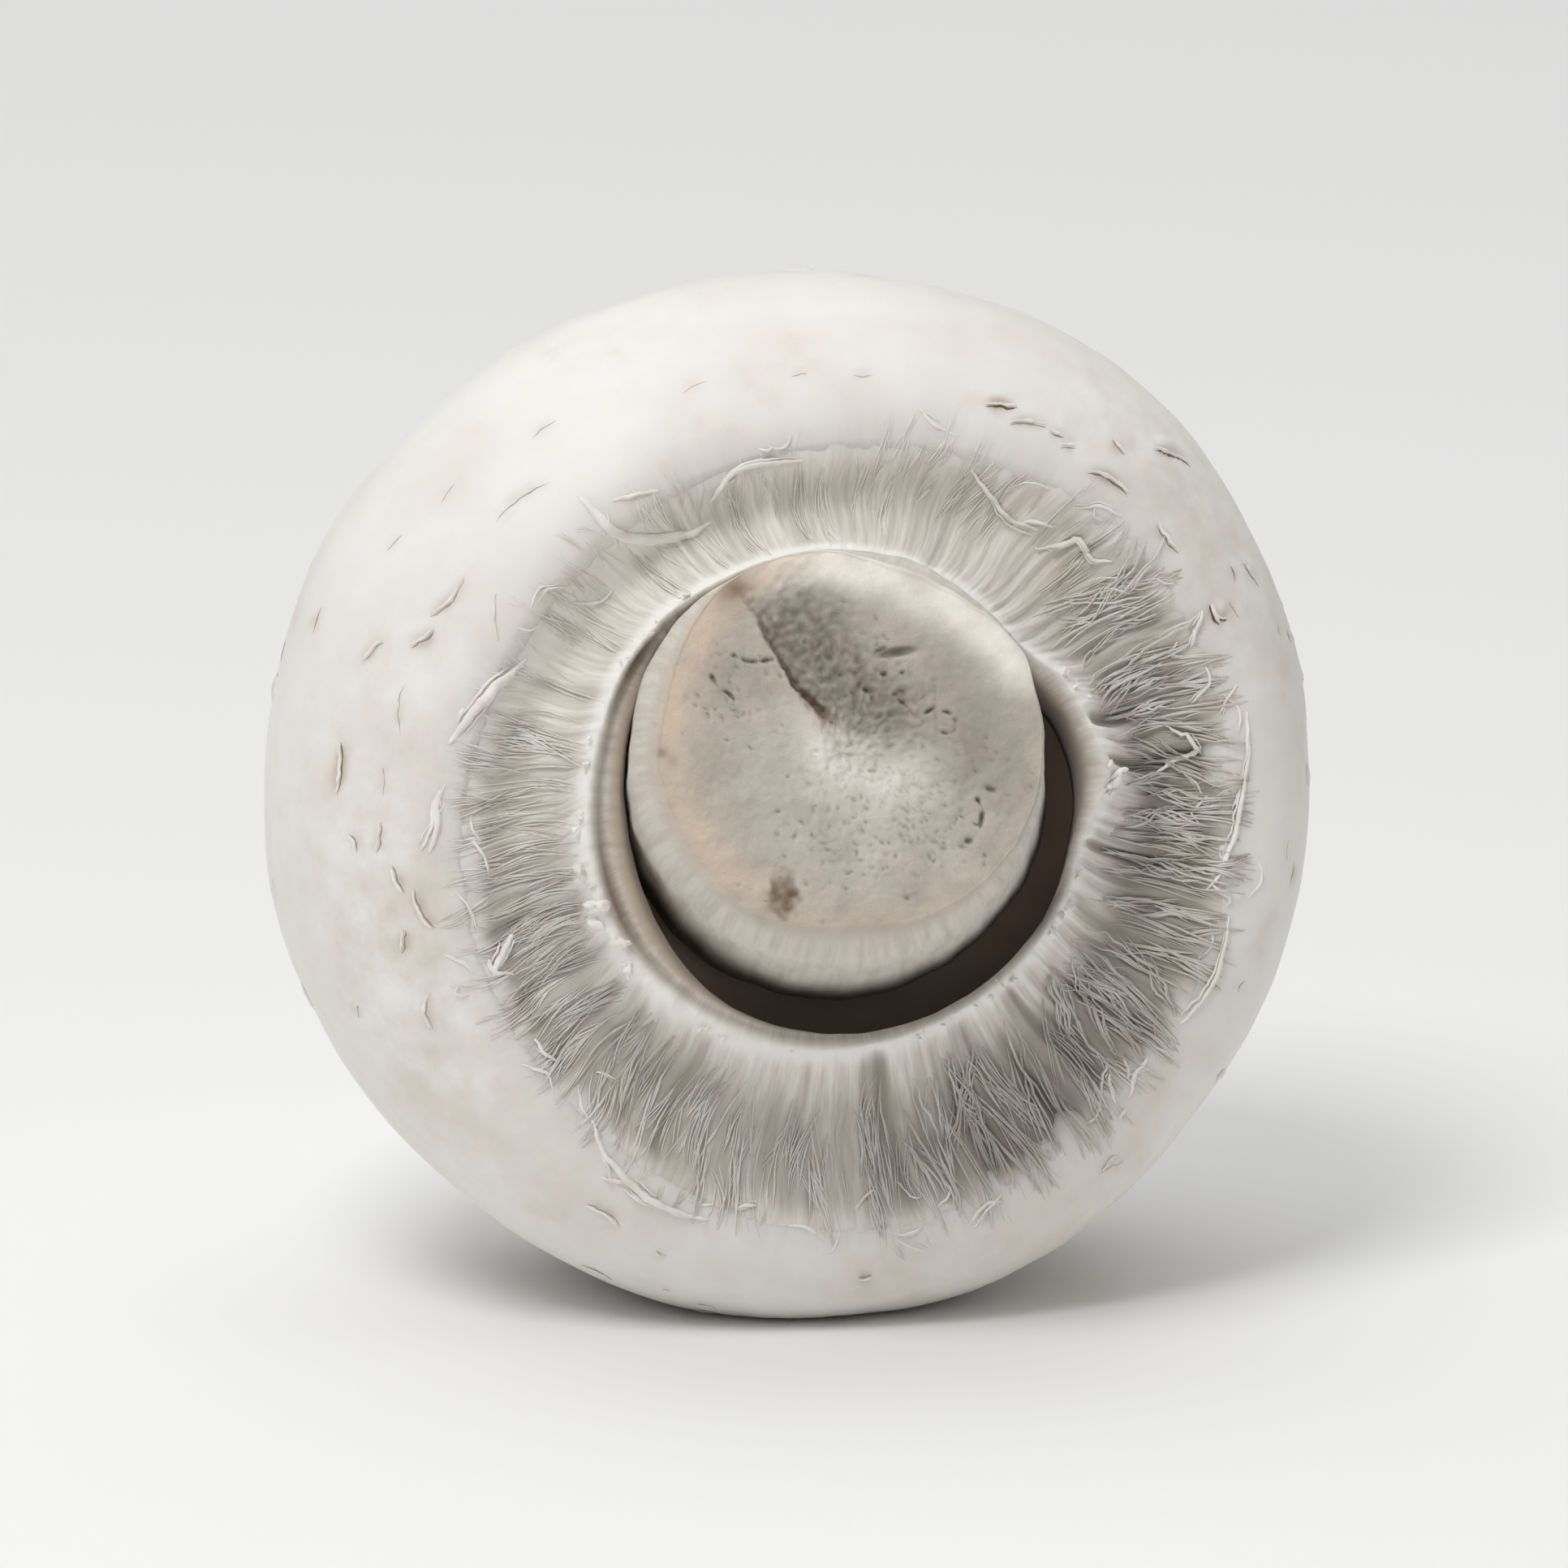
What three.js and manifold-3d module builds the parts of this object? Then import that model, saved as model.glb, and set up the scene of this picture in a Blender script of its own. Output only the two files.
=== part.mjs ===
// A closed-cup button mushroom (Agaricus bisporus), picked and trimmed, lying on one flank of its cap.
//
// It has the three pieces that a cook can part by hand: the cap, the stem that snaps out of the cap's socket,
// and the veil, a membrane drawn from the cap's margin to a loose collar round the stem.
//
// Units are millimetres. The pieces are modelled in a growing frame: the cap's axis is +Z towards the crown,
// z = 0 is the cap's widest section, and +Y points to the flank that it lies on. The group then lays the
// mushroom down, so that row +Y runs from stem to crown, +Z is up and the origin is under its middle.

import * as THREE from "three";
import { mergeVertices } from "three/addons/utils/BufferGeometryUtils.js";
import Module from "manifold-3d";

const wasm = await Module();
wasm.setup();

const radians = THREE.MathUtils.degToRad;

// ---- Driving dimensions: millimetres and degrees ----

const CAP_RADIUS = 26;
const DOME_HEIGHT = 21.5; // widest section to crown
const DOME_SQUARENESS = 2.2; // exponent of the superellipse: 2 is an ellipse
const RIM_DROP = 10.5; // widest section down to the crest of the rolled margin
const RIM_RADIUS = 19.5; // radius of that crest
const RIM_OFFSET = new THREE.Vector2(1.1, 1.3); // the crest's circle is off the cap's axis by this much
const MARGIN_CURL = new THREE.Vector2(-0.8, 0.2); // the margin turns in past its crest, and back up
const MARGIN_EDGE_HEIGHT = 0.7; // the margin's inner edge is this far above the crest
const UNDERSIDE_DEPTH = 6.2; // the flesh behind the veil starts this far below the widest section

const STEM_RADIUS = 10.2;
const STEM_FOOT = new THREE.Vector3(-1.0, -3.45, -19); // middle of the cut end
const STEM_ROOT = new THREE.Vector3(1.4, 0.05, -3); // middle of the end inside the cap
const STEM_FLARE = 0.7; // the stem widens by this much into the cap
const CUT_EDGE = 0.8; // rounding of the cut end's rim

const VEIL_OUTER_RADIUS = 18.1;
const VEIL_OUTER_DEPTH = 9.5; // its depths are all below the cap's widest section
const VALLEY_RADIUS = 16.2;
const VALLEY_DEPTH = 8.7;
const COLLAR_WALL = 1.3;
const COLLAR_LIP_DEPTH = 13.4;
const COLLAR_LIP_ROUNDING = 0.55;
const COLLAR_FOOT = new THREE.Vector2(0.7, 3); // the collar spreads by this much, this far behind its lip
const COLLAR_SPREAD = [13.2, 15.8]; // the veil follows the stem up to the first radius, then eases to the rim

const LEAN_BACK = 8; // the stem points this far above the horizontal, in degrees
const REST_HEIGHT = 24.9; // centre of the widest section above the surface it lies on
const CLEARANCE = 0.3;

const CAP_STEPS = 56; // facets round each piece, and along the cap's curves
const STEM_STEPS = 32;
const VEIL_STEPS = 48;
const DOME_STEPS = 14;
const FOLD_STEPS = 7;

// Low lobes make the cap's outline uneven: [waves round the cap, share of the radius, direction in degrees].
const CAP_LOBES = [
  [2, 0.012, -50],
  [3, 0.014, -38],
  [5, 0.005, 20],
];

// Width of the gap between stem and collar, by direction in degrees: 0 is +X and 90 is the side it lies on.
const COLLAR_GAPS = [
  [0, 2.9],
  [30, 3.4],
  [90, 2.6],
  [135, 1.9],
  [180, 1.3],
  [225, 0.7],
  [270, 0.35],
  [315, 0.6],
  [360, 2.9],
];

// ---- Shaping helpers ----

/** A quarter of a superellipse from (0, height) to (width, 0), as LatheGeometry points. */
function quarterArc(width, height, squareness, steps) {
  const points = [];
  for (let i = 0; i <= steps; i += 1) {
    const turn = (Math.PI / 2) * (i / steps);
    const x = width * Math.sin(turn) ** (2 / squareness);
    const y = height * Math.cos(turn) ** (2 / squareness);
    points.push(new THREE.Vector2(x, y));
  }
  return points;
}

/** The solid of revolution of a profile of (radius, height) points, about +Z. */
function turned(profile, steps) {
  return new THREE.LatheGeometry(profile, steps).rotateX(Math.PI / 2);
}

/** Moves every vertex of a geometry by move(point). */
function shaped(geometry, move) {
  const places = geometry.getAttribute("position");
  const point = new THREE.Vector3();
  for (let i = 0; i < places.count; i += 1) {
    move(point.fromBufferAttribute(places, i));
    places.setXYZ(i, point.x, point.y, point.z);
  }
  return geometry;
}

/** The gap between stem and collar in one direction, eased between the stated ones. */
function collarGap(direction) {
  const degrees = (THREE.MathUtils.radToDeg(direction) + 720) % 360;
  const next = COLLAR_GAPS.findIndex(([angle]) => angle > degrees);
  const [fromAngle, fromGap] = COLLAR_GAPS[next - 1];
  const [toAngle, toGap] = COLLAR_GAPS[next];
  const share = THREE.MathUtils.smoothstep(degrees, fromAngle, toAngle);
  return THREE.MathUtils.lerp(fromGap, toGap, share);
}

/** Makes the cap's round sections uneven, and carries its lower part over to the rim's own centre. */
function growUneven(point) {
  const direction = Math.atan2(point.y, point.x);
  let swell = 1;
  for (const [waves, share, towards] of CAP_LOBES) {
    swell += share * Math.cos(waves * (direction - radians(towards)));
  }
  const carried = THREE.MathUtils.smoothstep(-point.z, 0, RIM_DROP);
  point.x = point.x * swell + RIM_OFFSET.x * carried;
  point.y = point.y * swell + RIM_OFFSET.y * carried;
}

/** The middle of the stem at a height of the growing frame. */
function stemMiddle(height) {
  const share = (height - STEM_FOOT.z) / (STEM_ROOT.z - STEM_FOOT.z);
  return new THREE.Vector3().lerpVectors(STEM_FOOT, STEM_ROOT, share);
}

/** Draws the veil's inner part in round the leaning stem, with the collar's gap. */
function followStem(point) {
  const radius = Math.hypot(point.x, point.y);
  const direction = Math.atan2(point.y, point.x);
  const middle = stemMiddle(point.z);
  const follow = 1 - THREE.MathUtils.smoothstep(radius, ...COLLAR_SPREAD);
  const drawn = radius + collarGap(direction);
  const atStem = new THREE.Vector2(Math.cos(direction), Math.sin(direction)).multiplyScalar(drawn);
  growUneven(point);
  point.x = THREE.MathUtils.lerp(point.x, middle.x + atStem.x, follow);
  point.y = THREE.MathUtils.lerp(point.y, middle.y + atStem.y, follow);
}

// ---- Booleans ----

/** A closed geometry, moved by a matrix, as a manifold-3d solid. */
function solidOf(geometry, matrix = new THREE.Matrix4()) {
  const bare = new THREE.BufferGeometry();
  bare.setAttribute("position", geometry.getAttribute("position").clone());
  bare.setIndex(geometry.getIndex());
  bare.applyMatrix4(matrix);
  const merged = mergeVertices(bare, 1e-3);
  return new wasm.Manifold(
    new wasm.Mesh({
      numProp: 3,
      vertProperties: merged.getAttribute("position").array,
      triVerts: new Uint32Array(merged.getIndex().array),
    }),
  );
}

/** A manifold-3d solid as a geometry. */
function geometryOf(solid) {
  const mesh = solid.getMesh();
  const geometry = new THREE.BufferGeometry();
  geometry.setAttribute("position", new THREE.BufferAttribute(mesh.vertProperties, 3));
  geometry.setIndex(new THREE.BufferAttribute(mesh.triVerts, 1));
  geometry.computeVertexNormals();
  return geometry;
}

// ---- The three pieces, in the growing frame ----

/** The stem upright on its cut end, grown all round by a clearance where it serves as a cutter. */
function stemGeometry(grown = 0) {
  const length = STEM_FOOT.distanceTo(STEM_ROOT) + grown;
  const radius = STEM_RADIUS + grown;
  const profile = [
    new THREE.Vector2(0, -grown),
    new THREE.Vector2(radius - CUT_EDGE, -grown),
    new THREE.Vector2(radius - CUT_EDGE * 0.3, CUT_EDGE * 0.3 - grown),
    new THREE.Vector2(radius, CUT_EDGE - grown),
    new THREE.Vector2(radius - STEM_FLARE * 0.3, length * 0.4),
    new THREE.Vector2(radius, length * 0.7),
    new THREE.Vector2(radius + STEM_FLARE, length),
    new THREE.Vector2(0, length),
  ];
  return turned(profile, STEM_STEPS);
}

/** Where the stem stands: on its foot, leaning to its root. */
function placeStem(object) {
  const lean = new THREE.Vector3().subVectors(STEM_ROOT, STEM_FOOT).normalize();
  object.position.copy(STEM_FOOT);
  object.quaternion.setFromUnitVectors(new THREE.Vector3(0, 0, 1), lean);
  object.updateMatrix();
  return object;
}

/** Domed cap with a rolled margin, uncut. */
function capGeometry() {
  const dome = quarterArc(CAP_RADIUS, DOME_HEIGHT, DOME_SQUARENESS, DOME_STEPS);
  const fold = quarterArc(CAP_RADIUS - RIM_RADIUS, -RIM_DROP, 2, FOLD_STEPS)
    .reverse()
    .slice(1)
    .map((point) => point.add(new THREE.Vector2(RIM_RADIUS, 0)));
  const mouth = VEIL_OUTER_RADIUS + CLEARANCE;
  const inside = [
    new THREE.Vector2(RIM_RADIUS, -RIM_DROP).add(MARGIN_CURL),
    new THREE.Vector2(mouth, -RIM_DROP + MARGIN_EDGE_HEIGHT),
    new THREE.Vector2(mouth, -UNDERSIDE_DEPTH),
    new THREE.Vector2(0, -UNDERSIDE_DEPTH),
  ];
  return shaped(turned([...dome, ...fold, ...inside].reverse(), CAP_STEPS), growUneven);
}

/** Membrane from the margin into a valley and up to the collar, uncut. */
function veilGeometry() {
  const back = -UNDERSIDE_DEPTH - CLEARANCE;
  const collarInside = STEM_RADIUS;
  const collarOutside = STEM_RADIUS + COLLAR_WALL;
  const lipShoulder = -COLLAR_LIP_DEPTH + COLLAR_LIP_ROUNDING;
  const foot = new THREE.Vector2(collarOutside, -COLLAR_LIP_DEPTH).add(COLLAR_FOOT);
  const valley = new THREE.Vector2(VALLEY_RADIUS, -VALLEY_DEPTH);
  const profile = [
    new THREE.Vector2(collarInside, back),
    new THREE.Vector2(collarInside, lipShoulder),
    new THREE.Vector2(collarInside + COLLAR_WALL * 0.4, -COLLAR_LIP_DEPTH),
    new THREE.Vector2(collarOutside, lipShoulder),
    foot,
    new THREE.Vector2().lerpVectors(foot, valley, 0.45),
    valley,
    new THREE.Vector2(VEIL_OUTER_RADIUS, -VEIL_OUTER_DEPTH),
    new THREE.Vector2(VEIL_OUTER_RADIUS, back),
    new THREE.Vector2(collarInside, back),
  ];
  return shaped(turned(profile, VEIL_STEPS), followStem);
}

// ---- Assembly ----

const mushroom = new THREE.Group();
mushroom.rotation.x = radians(-90 - LEAN_BACK);
mushroom.updateMatrix();

/** What lies below the surface that the mushroom rests on, as a block in the growing frame. */
function surfaceCutter() {
  const side = 4 * CAP_RADIUS;
  const block = new THREE.BoxGeometry(side, side, side);
  block.translate(0, 0, -REST_HEIGHT - side / 2);
  return block.applyMatrix4(mushroom.matrix.clone().invert());
}

const stem = placeStem(
  new THREE.Mesh(
    stemGeometry(),
    new THREE.MeshStandardMaterial({ name: "stem_flesh", color: 0xe2dbcf, roughness: 0.75, metalness: 0 }),
  ),
);
stem.name = "stem";

const stemSocket = solidOf(stemGeometry(CLEARANCE), stem.matrix);

const cap = new THREE.Mesh(
  geometryOf(solidOf(capGeometry()).subtract(stemSocket).subtract(solidOf(surfaceCutter()))),
  new THREE.MeshStandardMaterial({ name: "cap_skin", color: 0xf1efe9, roughness: 0.6, metalness: 0 }),
);
cap.name = "cap";

const veil = new THREE.Mesh(
  geometryOf(solidOf(veilGeometry()).subtract(stemSocket)),
  new THREE.MeshStandardMaterial({ name: "veil_membrane", color: 0xdcd7cc, roughness: 0.85, metalness: 0 }),
);
veil.name = "veil";

mushroom.add(cap, stem, veil);

const buttonMushroom = new THREE.Group();
buttonMushroom.add(mushroom);
buttonMushroom.updateMatrixWorld(true);

const footprint = new THREE.Box3().setFromObject(buttonMushroom, true);
const middle = footprint.getCenter(new THREE.Vector3());
mushroom.position.set(-middle.x, -middle.y, -footprint.min.z);

export default buttonMushroom;
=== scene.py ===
"""A button mushroom lying on one flank of its cap, dressed round its CAD frame.

It is shaped as it grew: in millimetres, with the cap's axis along Z towards the crown, Z = 0 at the cap's
widest section and the stem's cut end at negative Z. BodyPlan.lay_down() then turns each mesh on its side,
takes it to metres and sets it where the CAD nodes lie. Directions are round that axis, and 90 degrees is the
flank that it rests on.
"""

from __future__ import annotations

import logging
import math
import random
from collections.abc import Callable, Sequence
from dataclasses import dataclass
from enum import Enum

import bmesh
import bpy
from bmesh.types import BMesh, BMLayerItem, BMVert
from bpy.types import Material, Node, NodeTree, Object
from bpy.types import NodeSocket as Socket
from mathutils import Matrix, Vector, noise
from mathutils.bvhtree import BVHTree
from mathutils.kdtree import KDTree


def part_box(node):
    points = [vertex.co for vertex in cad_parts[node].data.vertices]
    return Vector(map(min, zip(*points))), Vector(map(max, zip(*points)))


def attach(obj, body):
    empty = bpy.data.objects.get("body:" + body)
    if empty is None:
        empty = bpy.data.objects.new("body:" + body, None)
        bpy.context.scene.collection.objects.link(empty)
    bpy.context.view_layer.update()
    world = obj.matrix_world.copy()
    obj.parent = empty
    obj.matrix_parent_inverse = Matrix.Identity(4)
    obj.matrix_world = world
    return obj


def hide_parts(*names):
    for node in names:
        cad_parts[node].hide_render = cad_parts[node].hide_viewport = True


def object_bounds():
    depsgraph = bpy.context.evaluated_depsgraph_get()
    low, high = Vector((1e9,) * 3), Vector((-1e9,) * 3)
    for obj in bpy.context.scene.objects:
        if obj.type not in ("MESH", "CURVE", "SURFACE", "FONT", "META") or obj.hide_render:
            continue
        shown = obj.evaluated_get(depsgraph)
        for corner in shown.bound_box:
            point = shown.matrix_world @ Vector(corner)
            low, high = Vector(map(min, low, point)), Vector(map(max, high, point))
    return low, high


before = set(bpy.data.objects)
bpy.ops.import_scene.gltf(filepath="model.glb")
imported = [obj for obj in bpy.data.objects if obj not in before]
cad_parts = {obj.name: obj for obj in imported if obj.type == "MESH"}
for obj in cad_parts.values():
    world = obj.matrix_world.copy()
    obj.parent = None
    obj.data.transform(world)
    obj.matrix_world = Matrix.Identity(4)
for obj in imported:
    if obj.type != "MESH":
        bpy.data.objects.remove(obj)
CAD_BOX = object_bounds()

LOG = logging.getLogger("button_mushroom")
MM = 0.001
BODY = "root"

Strand = list[tuple[Vector, float]]  # a thin round thread: its points and the radius at each


class Organ(Enum):
    """The CAD nodes that the finished pieces stand for."""

    CAP = "cap"
    STEM = "stem"
    VEIL = "veil"


class Slot(Enum):
    """The record's material slots."""

    CAP_SKIN = "cap_skin"
    STEM_FLESH = "stem_flesh"
    VEIL_MEMBRANE = "veil_membrane"


# ---- Numbers and directions ----


def smoothstep(low: float, high: float, value: float) -> float:
    """Eases from 0 at low to 1 at high, which may be less than low.

    Args:
        low: Where the result is 0.
        high: Where it is 1.
        value: The number to place between them.

    Returns:
        A share from 0 to 1.
    """
    share = min(1.0, max(0.0, (value - low) / (high - low)))
    return share * share * (3.0 - 2.0 * share)


def bell(value: float, width: float) -> float:
    """A bell curve that is 1 at 0 and falls to 0.37 at width."""
    return math.exp(-((value / width) ** 2))


def mixed(first: float, second: float, share: float) -> float:
    """The number a share of the way from first to second."""
    return first + (second - first) * share


def towards(direction: float, radius: float = 1.0) -> Vector:
    """The point at a radius in a direction, given in radians, on the plane Z = 0."""
    return Vector((math.cos(direction) * radius, math.sin(direction) * radius, 0.0))


def upright(height: float) -> Vector:
    """The point at a height on the axis."""
    return Vector((0.0, 0.0, height))


def polar(point: Vector) -> tuple[float, float]:
    """A point's distance from the axis, and its direction in radians."""
    return math.hypot(point.x, point.y), math.atan2(point.y, point.x)


def rough(point: Vector, size: float, seed: int = 0) -> float:
    """Even noise from about -1 to 1.

    Args:
        point: Where it is read.
        size: How far apart its bumps are, in the point's units.
        seed: Which noise field is read.

    Returns:
        The noise there.
    """
    return noise.noise(point / size + Vector((seed * 17.3, seed * 5.1, seed * 9.7)))


def radial_grain(direction: float, radius: float, seed: int = 0) -> Vector:
    """A point in a space where noise makes streaks that run towards the mushroom's axis.

    Args:
        direction: In radians.
        radius: Distance along the streak.
        seed: Which streak field is meant.

    Returns:
        A point whose distances across the streaks are millimetres at the veil's middle.
    """
    return towards(direction, Veil.GRAIN_RADIUS) + upright(radius / Veil.GRAIN_STRETCH + seed * 31.7)


@dataclass(frozen=True)
class Around:
    """A number that varies smoothly with direction, worked out for each degree."""

    samples: tuple[float, ...]

    @classmethod
    def through(cls, *stations: tuple[float, float]) -> Around:
        """The number that runs through some stations, each a direction in degrees and the number there."""
        return cls(tuple(cls.between(stations, float(turn)) for turn in range(360)))

    @staticmethod
    def between(stations: Sequence[tuple[float, float]], turn: float) -> float:
        """The number at a turn in degrees, on a cubic curve through the stations."""
        count = len(stations)
        after = next((i for i, (angle, _) in enumerate(stations) if angle > turn), count)
        angles = []
        values = []
        for i in range(after - 2, after + 2):
            angle, value = stations[i % count]
            angles.append(angle + 360.0 * (i // count))
            values.append(value)
        span = angles[2] - angles[1]
        slope_out = (values[2] - values[0]) / (angles[2] - angles[0]) * span
        slope_in = (values[3] - values[1]) / (angles[3] - angles[1]) * span
        t = (turn - angles[1]) / span
        return (
            values[1] * (1 + 2 * t) * (1 - t) ** 2 + slope_out * t * (1 - t) ** 2
            + values[2] * t * t * (3 - 2 * t) + slope_in * t * t * (t - 1)
        )

    def at(self, direction: float) -> float:
        """The number in a direction, given in radians."""
        turn = math.degrees(direction) % 360.0
        low = int(turn) % 360
        return mixed(self.samples[low], self.samples[(low + 1) % 360], turn - int(turn))


def smooth_path(points: Sequence[Vector], step: float) -> list[Vector]:
    """A smooth curve through two or more points.

    Args:
        points: The points, in order.
        step: How far apart the curve's own points are, at most.

    Returns:
        The curve's points, from the first given one to the last.
    """
    path = [points[0].copy()]
    for i in range(len(points) - 1):
        start, end = points[i], points[i + 1]
        before = points[i - 1] if i else start
        after = points[i + 2] if i + 2 < len(points) else end
        count = max(1, math.ceil((end - start).length / step))
        for k in range(1, count + 1):
            t = k / count
            pull = (end - before) * 0.5 * t * (1 - t) ** 2 + (after - start) * 0.5 * t * t * (t - 1)
            path.append(start * (1 + 2 * t) * (1 - t) ** 2 + end * t * t * (3 - 2 * t) + pull)
    return path


# ---- The body plan that all pieces share ----


@dataclass(frozen=True)
class BodyPlan:
    """How the mushroom grew and how it lies: the CAD model's dimensions, in millimetres and degrees."""

    cap_radius: float = 26.0
    dome_height: float = 21.5
    dome_squareness: float = 2.2
    rim_drop: float = 10.5
    rim_radius: float = 19.5
    rim_offset: tuple[float, float] = (1.1, 1.3)
    underside_depth: float = 6.2
    lobes: tuple[tuple[int, float, float], ...] = ((2, 0.012, -50.0), (3, 0.014, -38.0), (5, 0.005, 20.0))
    stem_radius: float = 10.2
    stem_foot: Vector = Vector((-1.0, -3.45, -19.0)).freeze()
    stem_root: Vector = Vector((1.4, 0.05, -3.0)).freeze()
    lean_back: float = 8.0
    rest_height: float = 24.9
    crest_length: float = 13.5  # of the skin from the widest section to the rim's crest
    dome_length: float = 37.8  # of the skin from the crown to the widest section
    collar_height: float = -10.5  # just behind the collar's lip
    press_softness: float = 0.35  # mm over which the resting flank rounds off

    def uneven(self, point: Vector) -> Vector:
        """Carries a point of a round cap to where the uneven, off-centre one has it."""
        direction = polar(point)[1]
        swell = 1.0
        for waves, share, angle in self.lobes:
            swell += share * math.cos(waves * (direction - math.radians(angle)))
        carried = smoothstep(0.0, self.rim_drop, -point.z)
        x = point.x * swell + self.rim_offset[0] * carried
        y = point.y * swell + self.rim_offset[1] * carried
        return Vector((x, y, point.z))

    def stem_middle(self, height: float) -> Vector:
        """The middle of the leaning stem at a height of the growing frame."""
        share = (height - self.stem_foot.z) / (self.stem_root.z - self.stem_foot.z)
        return self.stem_foot.lerp(self.stem_root, share)

    def margin_point(self, margin: float) -> Vector:
        """A point on the round cap's outline.

        Args:
            margin: Distance along the skin from the widest section, negative towards the crown.

        Returns:
            The point, in direction 0.
        """
        if margin >= 0.0:
            turn = min(1.0, margin / self.crest_length) * math.pi / 2
            reach = self.cap_radius - self.rim_radius
            return Vector((self.rim_radius + reach * math.cos(turn), 0.0, -self.rim_drop * math.sin(turn)))
        turn = math.pi / 2 * max(0.0, 1.0 + margin / self.dome_length)
        power = 2.0 / self.dome_squareness
        radius = self.cap_radius * math.sin(turn) ** power
        return Vector((radius, 0.0, self.dome_height * math.cos(turn) ** power))

    @property
    def collar_middle(self) -> Vector:
        """The stem's middle behind the collar's lip, which the veil's threads run towards."""
        return self.stem_middle(self.collar_height)

    def placement(self) -> Matrix:
        """From the growing frame in millimetres to the row's frame in metres."""
        low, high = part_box(Organ.CAP.value)
        aside = 0.17 * MM
        ahead = 0.065 * MM
        middle = Vector(((low.x + high.x) / 2 + aside, ahead, self.rest_height * MM))
        turn = Matrix.Rotation(math.radians(-90.0 - self.lean_back), 4, "X")
        return Matrix.Translation(middle) @ turn @ Matrix.Scale(MM, 4)

    def lay_down(self, body: BMesh) -> None:
        """Lays a mesh on its side, in metres, where the CAD nodes lie, and flattens its resting flank."""
        bmesh.ops.transform(body, matrix=self.placement(), verts=body.verts)
        soft = self.press_softness * MM
        for vert in body.verts:
            height = vert.co.z
            if height < 4.0 * soft:
                vert.co.z = (height + math.hypot(height, soft)) / 2.0


# ---- Mesh helpers ----


def turned(profile: Sequence[Vector], steps: int) -> BMesh:
    """Turns a profile about Z into a closed body.

    Args:
        profile: Points on the plane Y = 0, with both ends on the axis or the last joined to the first.
        steps: Facets round the body.

    Returns:
        The body, with its distance along the profile in the vertex layer "along".
    """
    body = bmesh.new()
    along = body.verts.layers.float.new("along")
    rings: list[list[BMVert]] = []
    length = 0.0
    for i, point in enumerate(profile):
        length += (point - profile[i - 1]).length if i else 0.0
        count = 1 if point.x < 1e-6 else steps
        ring = [
            body.verts.new(towards(math.tau * k / steps, point.x) + upright(point.z)) for k in range(count)
        ]
        for vert in ring:
            vert[along] = length
        rings.append(ring)
    following = [*rings[1:], rings[0]] if profile[0].x > 1e-6 else rings[1:]
    for ring, other in zip(rings, following):
        for k in range(steps):
            after = (k + 1) % steps
            corners = (
                ring[k % len(ring)], ring[after % len(ring)], other[after % len(other)],
                other[k % len(other)],
            )
            body.faces.new(list(dict.fromkeys(corners)))
    bmesh.ops.recalc_face_normals(body, faces=body.faces)
    return body


def number_layers(body: BMesh, *names: str) -> list[BMLayerItem]:
    """Adds a vertex layer of numbers for each name."""
    return [body.verts.layers.float.new(name) for name in names]


def raise_skin(body: BMesh, relief: Callable[[BMVert], float]) -> None:
    """Moves each vertex out along its normal, by a relief that is worked out before any has moved."""
    body.normal_update()
    heights = [relief(vert) for vert in body.verts]
    for vert, height in zip(body.verts, heights):
        vert.co += vert.normal * height
    body.normal_update()


def as_piece(body: BMesh, name: str, material: Material) -> Object:
    """Makes a smooth-shaded object of a mesh that already lies in place, and frees the mesh.

    Args:
        body: The mesh.
        name: The piece's name.
        material: Its only material.

    Returns:
        The object.
    """
    mesh = bpy.data.meshes.new(name)
    body.to_mesh(mesh)
    body.free()
    mesh.materials.append(material)
    mesh.shade_smooth()
    piece = bpy.data.objects.new(name, mesh)
    bpy.context.scene.collection.objects.link(piece)
    return piece


def adopt(piece: Object, slot: Slot, stands_for: Organ | None = None) -> None:
    """Makes a finished piece ride on the frame.

    Args:
        piece: The object.
        slot: The record's material slot; not used.
        stands_for: The CAD node that it replaces, if it does.
    """
    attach(piece, BODY)
    if stands_for:
        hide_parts(stands_for.value)
    LOG.info("%s: %d faces", piece.name, len(piece.data.polygons))


def spun_threads(strands: Sequence[Strand], sides: int) -> BMesh:
    """Gives each strand a skin.

    Args:
        strands: What is spun.
        sides: How finely each is rounded: 0 makes it four-sided.

    Returns:
        All of them as one mesh of closed tubes.
    """
    curve = bpy.data.curves.new("threads", "CURVE")
    curve.dimensions = "3D"
    curve.bevel_depth = 1.0
    curve.bevel_resolution = sides
    curve.use_fill_caps = True
    for strand in strands:
        spline = curve.splines.new("POLY")
        spline.points.add(len(strand) - 1)
        for target, (point, radius) in zip(spline.points, strand):
            target.co = (*point, 1.0)
            target.radius = radius
    holder = bpy.data.objects.new("threads", curve)
    bpy.context.scene.collection.objects.link(holder)
    mesh = bpy.data.meshes.new_from_object(holder.evaluated_get(bpy.context.evaluated_depsgraph_get()))
    body = bmesh.new()
    body.from_mesh(mesh)
    bpy.data.objects.remove(holder)
    bpy.data.curves.remove(curve)
    bpy.data.meshes.remove(mesh)
    bmesh.ops.remove_doubles(body, verts=body.verts, dist=1e-5)
    bmesh.ops.recalc_face_normals(body, faces=body.faces)
    return body


# ---- Finishes ----


def srgb(colour: str) -> tuple[float, float, float, float]:
    """Turns a colour such as "#f2f0eb" to linear red, green, blue and an alpha of 1."""
    shares = [int(colour[i : i + 2], 16) / 255.0 for i in (1, 3, 5)]
    linear = [c / 12.92 if c <= 0.04045 else ((c + 0.055) / 1.055) ** 2.4 for c in shares]
    return (linear[0], linear[1], linear[2], 1.0)


def per_mm(size: float) -> float:
    """The scale of a noise on Object coordinates whose grains have a size in millimetres."""
    return 1.0 / (size * MM)


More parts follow.
